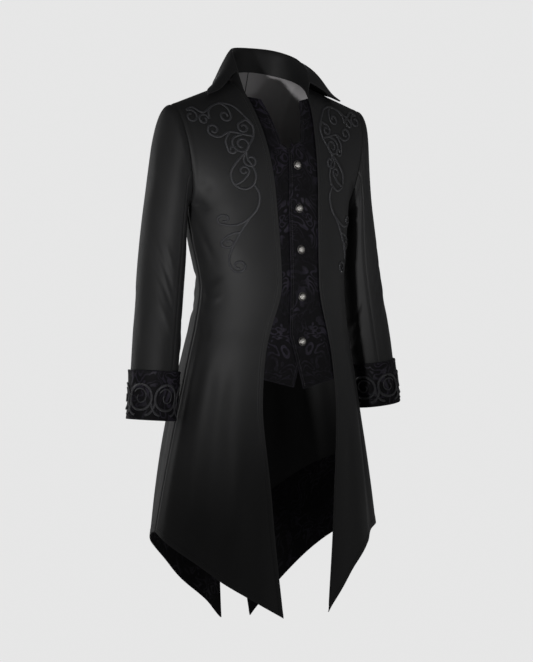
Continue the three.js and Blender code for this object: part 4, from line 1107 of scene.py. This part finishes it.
lap_band = BAND[:12] / LAP_LENGTH
waistcoat_cloth, waistcoat_grid = {}, {}
for word, sign in SIDES:
    lap = LAP[word]
    knots = (lap["z"] - lap["z"][0]) / (lap["z"][-1] - lap["z"][0])
    fine = np.unique(np.round(np.concatenate([np.linspace(0, 1, 130), knots, lap_band, 1 - lap_band]), 4))
    level = mix(lap["z"][0], lap["z"][-1], fine)[:, None]
    inner_x = straight_at(lap, "x", level)
    outer_x = at_height(FRONT_EDGE, "x", level) + SEWN_UNDER
    lengths = (outer_x - inner_x)[:, 0]
    share = shares_across(lengths, 26, dense_end=False)
    x = mix(inner_x, outer_x, share)
    rise = mix(12, 24, fine)[:, None] * share * abs(2 * fine[:, None] - 1) ** 3
    base = front_at(np.abs(x), level + rise)
    base[..., 0] = x
    base = skirt_fold(base)
    lapped = 1 - ease(0.42, 0.62, share)
    sunk = -UNDER_COAT - (LAP_UNDER * lapped if word == "right" else 0)
    walk = x - inner_x
    height = crease_heights(share, -base[..., 2], lengths, PUCKERS[word]) * ease(2, 16, walk)
    _, _, top_gap, hem_gap = edge_gaps(base)
    ends = np.minimum(top_gap, hem_gap)
    height += 0.6 * (stitched_edge(walk, NARROW_LINE) + stitched_edge(ends, NARROW_LINE))
    points = base + grid_normals(base, FRONT) * (sunk + height)[..., None]
    # Lighter lap edge and ends: rubbed wear and a painted sheen.
    wear_and_sheen = np.clip(edge_wear_and_sheen(walk, LAP_WEAR_SHEEN) + edge_wear_and_sheen(ends, LAP_WEAR_SHEEN), 0, 1)
    waistcoat_grid[word] = on_side(points, sign, (0, -HALF_GAP, 0))
    waistcoat_cloth[word] = sheet_of_cloth("waistcoat_front", word, waistcoat_grid[word], FRONT,
                                           jacquard, wear_and_sheen=wear_and_sheen)

# %% [markdown]
# ## Collar
# The collar stands up from the neck seam, rolls over a fold and falls open over the shoulders, as
# on a shirt. Each place round the neck has its own profile: a short curve through the seam, the
# stand, the roll and the leaf.

# %% Collar curves
COLLAR = {
    "right": [
        ([75, -44, 27], [77, -24, 64], [159, -40, 14]), ([78, -24, 40], [76, -12, 83], [138, -12, 29]),
        ([79, 0, 51], [69, 8, 100], [112, 17, 41]), ([70, 27, 60], [56, 31, 111], [92, 46, 50]),
        ([48, 50, 69], [36, 49, 116], [60, 75, 56]),
    ],
    "left": [
        ([75, -44, 27], [81, -40, 46], [158, -38, 11]), ([78, -24, 40], [84, -20, 74], [149, -8, 35]),
        ([79, 0, 51], [79, 2, 94], [131, 20, 48]), ([70, 27, 60], [67, 30, 107], [104, 50, 60]),
        ([48, 50, 69], [43, 50, 115], [64, 77, 60]),
    ],
}
COLLAR_NAPE = ([0, 62, 75], [0, 61, 118], [0, 92, 60])
COLLAR_ROLL, COLLAR_RISE = 5, 4
COLLAR_CAMBER = {"right": 0, "left": 14}
LEAF_DROOP = {"right": 5, "left": 20}
END_SAG = {"right": 9, "left": 0}


def curve_through(points, at):
    """Rounded curve through points, its pace set by their spacing; at runs from 0 to 1."""
    points = np.asarray(points, float)
    count = len(points)
    found = []
    for t in np.atleast_1d(at):
        place = (count - 1) * t
        i = min(int(place), count - 2)
        w = place - i
        p1, p2 = points[i], points[i + 1]
        p0 = points[i - 1] if i > 0 else 2 * p1 - p2
        p3 = points[i + 2] if i + 2 < count else 2 * p2 - p1
        d0, d1, d2 = (max(np.linalg.norm(b - a), 1e-6) ** 0.5 for a, b in ((p0, p1), (p1, p2), (p2, p3)))
        m1 = ((p1 - p0) / d0 - (p2 - p0) / (d0 + d1) + (p2 - p1) / d1) * d1
        m2 = ((p2 - p1) / d1 - (p3 - p1) / (d1 + d2) + (p3 - p2) / d2) * d1
        square, cube = -3 * p1 + 3 * p2 - 2 * m1 - m2, 2 * p1 - 2 * p2 + m1 + m2
        found.append(p1 + m1 * w + square * w ** 2 + cube * w ** 3)
    return np.array(found)


def collar_line(k):
    left = [np.array(row[k], float) for row in COLLAR["left"]]
    right = [np.array(row[k], float) * (-1, 1, 1) for row in COLLAR["right"]]
    return np.array([*left, np.array(COLLAR_NAPE[k], float), *right[::-1]])


COLLAR_LENGTH, COLLAR_DEPTH, COLLAR_WEAR_SHEEN = 520.0, 120, 1.8
collar_band = BAND[:13]
between = np.linspace(collar_band[-1], COLLAR_LENGTH - collar_band[-1], 150)[1:-1]
around = np.concatenate([collar_band / COLLAR_LENGTH, between / COLLAR_LENGTH,
                         1 - collar_band[::-1] / COLLAR_LENGTH])
seam_line, fold_line, leaf_line = (curve_through(collar_line(k), around) for k in range(3))
over = np.unique(np.concatenate([np.linspace(0, 1, 56), 1 - BAND[:12] / COLLAR_DEPTH]))
collar_points = []
for place, a, b, c in zip(around, seam_line, fold_line, leaf_line):
    out = unit(np.array([c[0] - b[0], c[1] - b[1], 0]))
    stand_top = b - np.array([0, 0, COLLAR_ROLL])
    fall_top = mix(b, c, 0.1) + out * COLLAR_ROLL * 0.8
    side = "left" if c[0] > 0 else "right"
    from_end = math.sin(math.pi * min(2 * min(place, 1 - place), 1))
    camber = COLLAR_CAMBER[side] * from_end
    leaf_middle = mix(fall_top, c, 0.5) + (0, 0, camber - END_SAG[side] * (1 - from_end) ** 3)
    neck = a - (0, 0, COLLAR_RISE + 1.5)
    c = c - (0, 0, LEAF_DROOP[side] * from_end ** 0.8)
    profile = [neck, mix(neck, stand_top, 0.55), stand_top, b + out * COLLAR_ROLL * 0.35,
               fall_top, leaf_middle, c]
    collar_points.append(curve_through(profile, over))
collar_points = np.array(collar_points).transpose(1, 0, 2)
collar_points[..., 2] += COLLAR_RISE

# %% Collar
walk, far_gap, _, leaf_gap = edge_gaps(collar_points)
ends = np.minimum(walk, far_gap)
edge_gap = np.where(over[:, None] > 0.45, np.minimum(ends, leaf_gap), 60)
leaf_normal = grid_normals(collar_points, np.ones(3))
if leaf_normal[-8:, :, 2].mean() < 0:
    leaf_normal = -leaf_normal
leaf_share = ease(0.5, 0.95, over)[:, None]
waver = leaf_share * (1.2 * np.sin(walk / 31 + 0.6) + 0.7 * np.sin(walk / 17 + 2.0))
collar_points = collar_points + leaf_normal * (waver + stitched_edge(edge_gap, NARROW_LINE))[..., None]
# Lighter collar edges and roll line: rubbed wear and a painted sheen.
wear_and_sheen = np.clip(edge_wear_and_sheen(edge_gap, COLLAR_WEAR_SHEEN) + 0.6 * edge_wear_and_sheen(over[:, None] - 0.5, 0.03), 0, 1)
sheet_of_cloth("collar", None, collar_points, leaf_normal, sateen, offset=0.0, wear_and_sheen=wear_and_sheen)

# %% [markdown]
# ## Scrollwork
# A cord is couched on the cloth in scrolls: it is laid along a drawn line and held by small
# stitches. Each cord here is a flattened tube. On the chest it is set down on the finished cloth,
# whose creases it follows, and on a cuff it lies just above the cuff's rings. The scroll is a plain
# traditional one, mirrored from side to side.

# %% Strokes of the scrolls: points from the centre line and height, then the curl's centre and hand
CHEST_STROKES = [
    ([(92, -20), (108, -2), (130, 3), (150, -4), (170, -16), (188, -6), (200, -12)], (194, -24), 1),
    ([(150, -4), (158, -14), (160, -28)], (171, -30), -1),
    ([(130, 3), (120, -6), (117, -18)], (128, -22), 1),
    ([(92, -20), (80, -40), (82, -62), (96, -84), (106, -104)], (94, -110), -1),
    ([(80, -40), (90, -30), (100, -34)], (98, -45), -1),
    ([(82, -62), (102, -58), (126, -54), (146, -64), (158, -62)], (156, -50), 1),
    ([(102, -58), (120, -66), (124, -78), (116, -90)], (106, -78), -1),
    ([(126, -54), (136, -72), (134, -86)], (125, -88), -1),
    ([(100, -92), (122, -116), (132, -136), (126, -158), (108, -166), (92, -156), (87, -138),
      (92, -120), (100, -104), (100, -92)], None, 0),
    ([(126, -158), (112, -150), (102, -138)], (108, -130), -1),
    ([(92, -156), (83, -176), (86, -200), (102, -222), (124, -236), (142, -236)], (144, -225), 1),
    ([(102, -222), (118, -250), (132, -284), (136, -306), (128, -326)], (121, -316), -1),
    ([(118, -250), (132, -254), (144, -264)], (137, -272), -1),
]
CURL_TURNS, CURL_CORE, STROKE_PACE = 1.15, 0.34, 1.6
CORD_WIDTH, CORD_HEIGHT, CORD_SINK, AROUND = 4.8, 3.4, 0.35, 10


def stroke_points(stroke):
    """Even points along a stroke and the curl at its end."""
    points, centre, hand = stroke
    points = [np.array(p, float) for p in points]
    if centre:
        arm = points[-1] - np.array(centre, float)
        start, radius = math.atan2(arm[1], arm[0]), np.linalg.norm(arm)
        for t in np.linspace(0, 1, 11)[1:]:
            angle = start + hand * t * CURL_TURNS * 2 * math.pi
            reach = radius * mix(1, CURL_CORE, t)
            points.append(np.array(centre) + reach * np.array([math.cos(angle), math.sin(angle)]))
    fine = curve_through(points, np.linspace(0, 1, 30 * len(points)))
    walked = run(fine, 0)
    even = np.linspace(0, walked[-1], max(int(walked[-1] / STROKE_PACE), 6))
    return np.stack([np.interp(even, walked, fine[:, k]) for k in (0, 1)], axis=-1)


# %% Cord helper
def surface_finder(thing):
    """Finds the nearest point of a finished sheet, and which way its cloth faces there."""
    return BVHTree.FromObject(thing, bpy.context.evaluated_depsgraph_get())


def finish_cord(name, vertices, faces, layout, material):
    """Closed tubes or slugs become one object that rides on the coat."""
    thing = make_object(name, vertices, faces)
    layer = thing.data.uv_layers.new(name="cloth")
    layer.data.foreach_set("uv", np.array(layout, np.float32).ravel())
    shape = bmesh.new()
    shape.from_mesh(thing.data)
    bmesh.ops.recalc_face_normals(shape, faces=shape.faces)
    shape.to_mesh(thing.data)
    shape.free()
    thing.data.shade_smooth()
    thing.data.materials.append(material)
    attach(thing, "root")
    return thing


def cord_mesh(name, lines, width=CORD_WIDTH, height=CORD_HEIGHT):
    """Flattened tubes of silk cord along lines of (points, normals), in metres, in one object."""
    vertices, faces, layout = [], [], []
    for points, normals in lines:
        count = len(points)
        tangent = unit(np.gradient(points, axis=0))
        side = unit(np.cross(tangent, normals))
        up = unit(np.cross(side, tangent))
        up = np.where((np.sum(up * normals, axis=-1) < 0)[:, None], -up, up)
        walked = run(points, 0)
        first = len(vertices)
        taper = np.minimum(1, 0.45 + np.minimum(walked, walked[-1] - walked) / (0.6 * width * MM))
        for k in range(AROUND):
            a = 2 * math.pi * k / AROUND
            rise = math.sin(a) * height / 2 + height * (0.5 - CORD_SINK)
            offset = side * (math.cos(a) * width / 2 * MM * taper)[:, None]
            offset = offset + up * (rise * MM * taper)[:, None]
            vertices.extend(points + offset)
        for k in range(AROUND):
            m = (k + 1) % AROUND
            low, high = (n * width * MM * 0.28 for n in (k, k + 1))
            for i in range(count - 1):
                faces.append((first + k * count + i, first + k * count + i + 1,
                              first + m * count + i + 1, first + m * count + i))
                here, ahead = walked[i], walked[i + 1]
                layout.extend([(here, low), (ahead, low), (ahead, high), (here, high)])
        faces.append(tuple(first + k * count for k in range(AROUND)))
        faces.append(tuple(first + k * count + count - 1 for k in reversed(range(AROUND))))
        layout.extend([(0, 0)] * AROUND * 2)
    length = sum(float(run(points, 0)[-1]) for points, _ in lines)
    print(f"{name}: {len(lines)} lengths, {length:.2f} m in all, {len(faces)} faces")
    return finish_cord(name, vertices, faces, layout, silk_cord)


RAY_START, RAY_REACH = 0.03, 0.08


def settle(finder, points, guide):
    """Moves points, in metres, onto a sheet's outer face."""
    found_points, found_normals = [], []
    for point, out in zip(points, guide):
        start = Vector(point + out * RAY_START)
        hit, normal, _, _ = finder.ray_cast(start, Vector(-out), RAY_REACH)
        if hit is None:
            hit, normal, _, _ = finder.find_nearest(Vector(point))
        normal = np.array(normal)
        if normal @ out < 0:
            normal = -normal
        found_points.append(np.array(hit))
        found_normals.append(normal)
    return np.array(found_points), np.array(found_normals)


# %% Scrolls on the chest
for word, sign in SIDES:
    finder = surface_finder(front_cloth[word])
    lines = []
    for stroke in CHEST_STROKES:
        flat_points = stroke_points(stroke)
        base = front_at(flat_points[:, 0], flat_points[:, 1])
        right_of = front_at(flat_points[:, 0] + 1, flat_points[:, 1]) - base
        above = front_at(flat_points[:, 0], flat_points[:, 1] + 1) - base
        out = unit(np.cross(right_of, above))
        out = np.where(out[:, 1:2] > 0, -out, out)
        base, out = on_side(base, sign) * MM, on_side(out, sign)
        points, normals = settle(finder, base, out)
        smooth = np.array([np.average(normals[max(i - 3, 0):i + 4], axis=0) for i in range(len(normals))])
        lines.append((points, unit(smooth)))
    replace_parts(cord_mesh(f"scrollwork_{word}_cord", lines), f"scrollwork_{word}")

# %% Loops on the cuffs
CUFF_LOOPS, CUFF_LOOP_RADIUS, CUFF_LOOP_DROP, CUFF_GIRTH = 6, 23, 50, 318
CORD_LIFT = 0.0006
INNER_TURN = np.linspace(-0.35 * math.pi, 1.75 * math.pi, 70)
INNER_REACH = np.linspace(16, 5, 70)


def circled(middle, drop, reach, turn):
    """Points round a loop's middle, on the cuff laid flat."""
    return np.stack([middle + reach * np.sin(turn), drop - reach * np.cos(turn)], -1)


def laid_on_cuff(stroke, word, sign):
    """Line of (points, normals) in metres, from a stroke on the cuff laid flat."""
    angle = stroke[:, 0] / CUFF_GIRTH * 2 * math.pi
    place = np.clip(stroke[:, 1] / CUFF_DEPTH, 0, 1) * CUFF_RINGS
    base = ring_surface(CUFF, angle, place, word)
    out = on_side(unit((base - ring_middle(CUFF, place)) * (1, 1, 0)), sign)
    return on_side(base, sign, (SLEEVE_SHIFT, 0, 0)) * MM + out * CORD_LIFT, out


for word, sign in SIDES:
    pitch = CUFF_GIRTH / CUFF_LOOPS
    strokes, curls = [], []
    for i in range(CUFF_LOOPS):
        middle = (i + 0.5) * pitch
        strokes.append(circled(middle, CUFF_LOOP_DROP, CUFF_LOOP_RADIUS, np.linspace(0, 2 * math.pi, 90)))
        for hand in (-1, 1):
            stem = [(middle + hand * reach, CUFF_LOOP_DROP + drop) for reach, drop in (
                (CUFF_LOOP_RADIUS * 0.95, 6), (pitch / 2, 21), (pitch / 2 + 7, 31), (pitch / 2 + 15, 35))]
            strokes.append(curve_through(stem, np.linspace(0, 1, 40)))
        curls.append(circled(middle, CUFF_LOOP_DROP - 1, INNER_REACH, INNER_TURN))
    curl_lines, loop_lines = ([laid_on_cuff(stroke, word, sign) for stroke in group]
                              for group in (curls, strokes))
    cord_mesh(f"cuff_curls_{word}_cord", curl_lines, width=2.6, height=1.6)
    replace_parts(cord_mesh(f"cuff_scrollwork_{word}_cord", loop_lines, height=2.4), f"cuff_scrollwork_{word}")

# %% [markdown]
# ## Buttons
# The five domed buttons are cast. One is modelled as by hand, from a disc that is extruded into a
# rim and a dome, and its dome is cut into a ring of raised petals round a small boss. It is then
# copied to each place and turned square to the cloth.

# %% One button, modelled with operators
BUTTON_RADIUS, BUTTON_DOME, BUTTON_SIDES = 0.0086, 0.0052, 32
PETAL_RISE, PETAL_BEVEL = 0.00035, 0.00016
bpy.ops.object.select_all(action="DESELECT")
bpy.ops.mesh.primitive_circle_add(vertices=BUTTON_SIDES, radius=BUTTON_RADIUS * 0.8, fill_type="NGON",
                                  location=(0, 0, 0))
pattern = bpy.context.active_object
pattern.name = "button_pattern"
bpy.ops.object.mode_set(mode="EDIT")
bpy.ops.mesh.select_all(action="SELECT")
STEPS = [
    # scale of the ring, height gained in metres
    (1.25, 0.0010), (1.0, 0.0009), (0.90, 0.0003), (0.97, -0.0002), (0.92, 0.0009),
    (0.84, 0.0010), (0.70, 0.0008), (0.62, 0.0003), (0.90, 0.0002), (0.5, 0.0003),
]
for scale, lift in STEPS:
    bpy.ops.mesh.extrude_region_move(TRANSFORM_OT_translate={"value": (0, 0, lift)})
    bpy.ops.transform.resize(value=(scale, scale, 1))
bpy.ops.object.mode_set(mode="OBJECT")
shape = bmesh.new()
shape.from_mesh(pattern.data)
for face in shape.faces:
    centre = face.calc_center_median()
    radius = centre.to_2d().length
    sector = int(round((math.atan2(centre.y, centre.x) / (2 * math.pi) * BUTTON_SIDES) - 0.5)) % 4
    on_dome = 0.3 * BUTTON_RADIUS < radius < 0.80 * BUTTON_RADIUS and centre.z > 0.002
    face.select = on_dome and sector in (1, 2)
for edge in shape.edges:
    edge.select = any(f.select for f in edge.link_faces)
shape.to_mesh(pattern.data)
chosen = sum(f.select for f in shape.faces)
shape.free()
pick_only(pattern)
bpy.ops.object.mode_set(mode="EDIT")
bpy.ops.mesh.select_mode(type="FACE")
bpy.ops.mesh.extrude_region_move(TRANSFORM_OT_translate={"value": (0, 0, PETAL_RISE)})
bpy.ops.transform.resize(value=(0.98, 0.98, 1))
bpy.ops.object.mode_set(mode="OBJECT")
bpy.ops.object.modifier_add(type="BEVEL")
pattern.modifiers[-1].width = PETAL_BEVEL
pattern.modifiers[-1].segments = 2
bpy.ops.object.modifier_apply(modifier=pattern.modifiers[-1].name)
bpy.ops.object.shade_smooth_by_angle(angle=math.radians(40))
top = max(v.co.z for v in pattern.data.vertices)
print("button:", len(pattern.data.polygons), "faces,", chosen, "raised, dome", round(top / MM, 1), "mm")

# %% Buttons in place
BUTTON_HEIGHTS = [-118, -203, -284, -376, -464]
BUTTON_X, SEAT_REACH, SEAT_GAP = 2, 0.008, 0.0002
finder = surface_finder(waistcoat_cloth["left"])
relief_values = []
for vertex in pattern.data.vertices:
    radius = vertex.co.to_2d().length / BUTTON_RADIUS
    profile = BUTTON_DOME * math.sqrt(max(1 - (radius / 1.05) ** 2, 0))
    relief_values.append(min(max(0.5 + (vertex.co.z - profile) / 0.0012, 0), 1))
for number, z in enumerate(BUTTON_HEIGHTS, 1):
    start = Vector((BUTTON_X * MM, -0.25, z * MM))
    spots = [finder.ray_cast(start + Vector((dx, 0, dz)), Vector((0, 1, 0)))[0]
             for dx, dz in ((0, 0), (SEAT_REACH, 0), (-SEAT_REACH, 0), (0, SEAT_REACH), (0, -SEAT_REACH))]
    out = (spots[1] - spots[2]).cross(spots[3] - spots[4]).normalized()
    rise = max((spot - spots[0]).dot(out) for spot in spots) + SEAT_GAP
    turn = out.to_track_quat("Z", "Y").to_matrix().to_4x4() @ Matrix.Rotation(0.5 * number, 4, "Z")
    mesh = pattern.data.copy()
    mark = mesh.attributes.new("relief", "FLOAT", "POINT")
    mark.data.foreach_set("value", relief_values)
    mesh.transform(Matrix.Translation(spots[0] + out * rise) @ turn)
    button = bpy.data.objects.new(f"button_{number}_cast", mesh)
    bpy.context.scene.collection.objects.link(button)
    mesh.materials.clear()
    mesh.materials.append(silver)
    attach(button, "root")
    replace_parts(button, f"button_{number}")
bpy.data.objects.remove(pattern)
print(len(BUTTON_HEIGHTS), "buttons sewn on")

# %% [markdown]
# ## Topstitching
# Every turned edge is held by a row of machine stitches. A stitch is a short slug of thread that
# dips at both ends, about 3 mm long. They are copied along the grooves already pressed in the cloth.

# %% Stitch helper
STITCH_LENGTH, STITCH_PITCH, STITCH_WIDTH, STITCH_FACES = 2.9, 3.8, 0.75, 14


def stitches(name, lines):
    """Stitches along lines of (points, normals) in millimetres, in one object."""
    vertices, faces = [], []
    for points, normals in lines:
        walked = run(points, 0)
        starts = np.arange(STITCH_PITCH, walked[-1] - STITCH_PITCH, STITCH_PITCH)
        for s in starts:
            ends = np.array([s, s + STITCH_LENGTH * 0.25, s + STITCH_LENGTH * 0.75, s + STITCH_LENGTH])
            spots = np.stack([np.interp(ends, walked, points[:, k]) for k in range(3)], -1)
            up = unit(np.array([np.interp(s, walked, normals[:, k]) for k in range(3)]))
            ahead = unit(spots[3] - spots[0])
            side = unit(np.cross(ahead, up))
            first = len(vertices)
            for spot, wide, high in zip(spots, (0.4, 1, 1, 0.4), (-0.1, 0.32, 0.32, -0.1)):
                middle = spot + up * high
                for a, b in ((-1, 0), (0, 0.75), (1, 0), (0, -0.75)):
                    vertices.append((middle + (side * a + up * b) * wide * STITCH_WIDTH / 2) * MM)
            for i in range(3):
                for k in range(4):
                    a, b = first + i * 4 + k, first + i * 4 + (k + 1) % 4
                    faces.append((a, b, b + 4, a + 4))
            faces.append((first, first + 3, first + 2, first + 1))
            faces.append((first + 12, first + 13, first + 14, first + 15))
    layout = [(vertices[i][2], vertices[i][0]) for face in faces for i in face]
    finish_cord(name, vertices, faces, layout, sewing_thread)
    print(name, len(faces) // STITCH_FACES, "stitches")


def column_at(points, hint, gap, from_end=False):
    """The line of a grid that runs a given distance inside its first or last column."""
    normal = grid_normals(points, hint)
    walk, far_gap, _, _ = edge_gaps(points)
    index = np.argmin(abs((far_gap if from_end else walk) - gap), axis=1)
    rows = np.arange(len(points))
    return points[rows, index], normal[rows, index]


def row_at(points, hint, gap):
    """The line of a grid that runs a given distance inside its lower edge."""
    return column_at(points.transpose(1, 0, 2), hint, gap, from_end=True)


# %% Stitches on the edges
VENT_ROW = arm_row + 60
for word, sign in SIDES:
    front, back = front_grid[word], back_grid[word]
    stitches(f"front_stitching_{word}", [column_at(front, FRONT, EDGE_LINE), row_at(front, FRONT, HEM_LINE)])
    stitches(f"back_stitching_{word}",
             [column_at(back[VENT_ROW:], BACK, EDGE_LINE), row_at(back, BACK, HEM_LINE)])
    stitches(f"waistcoat_stitching_{word}", [column_at(waistcoat_grid[word], FRONT, NARROW_LINE)])
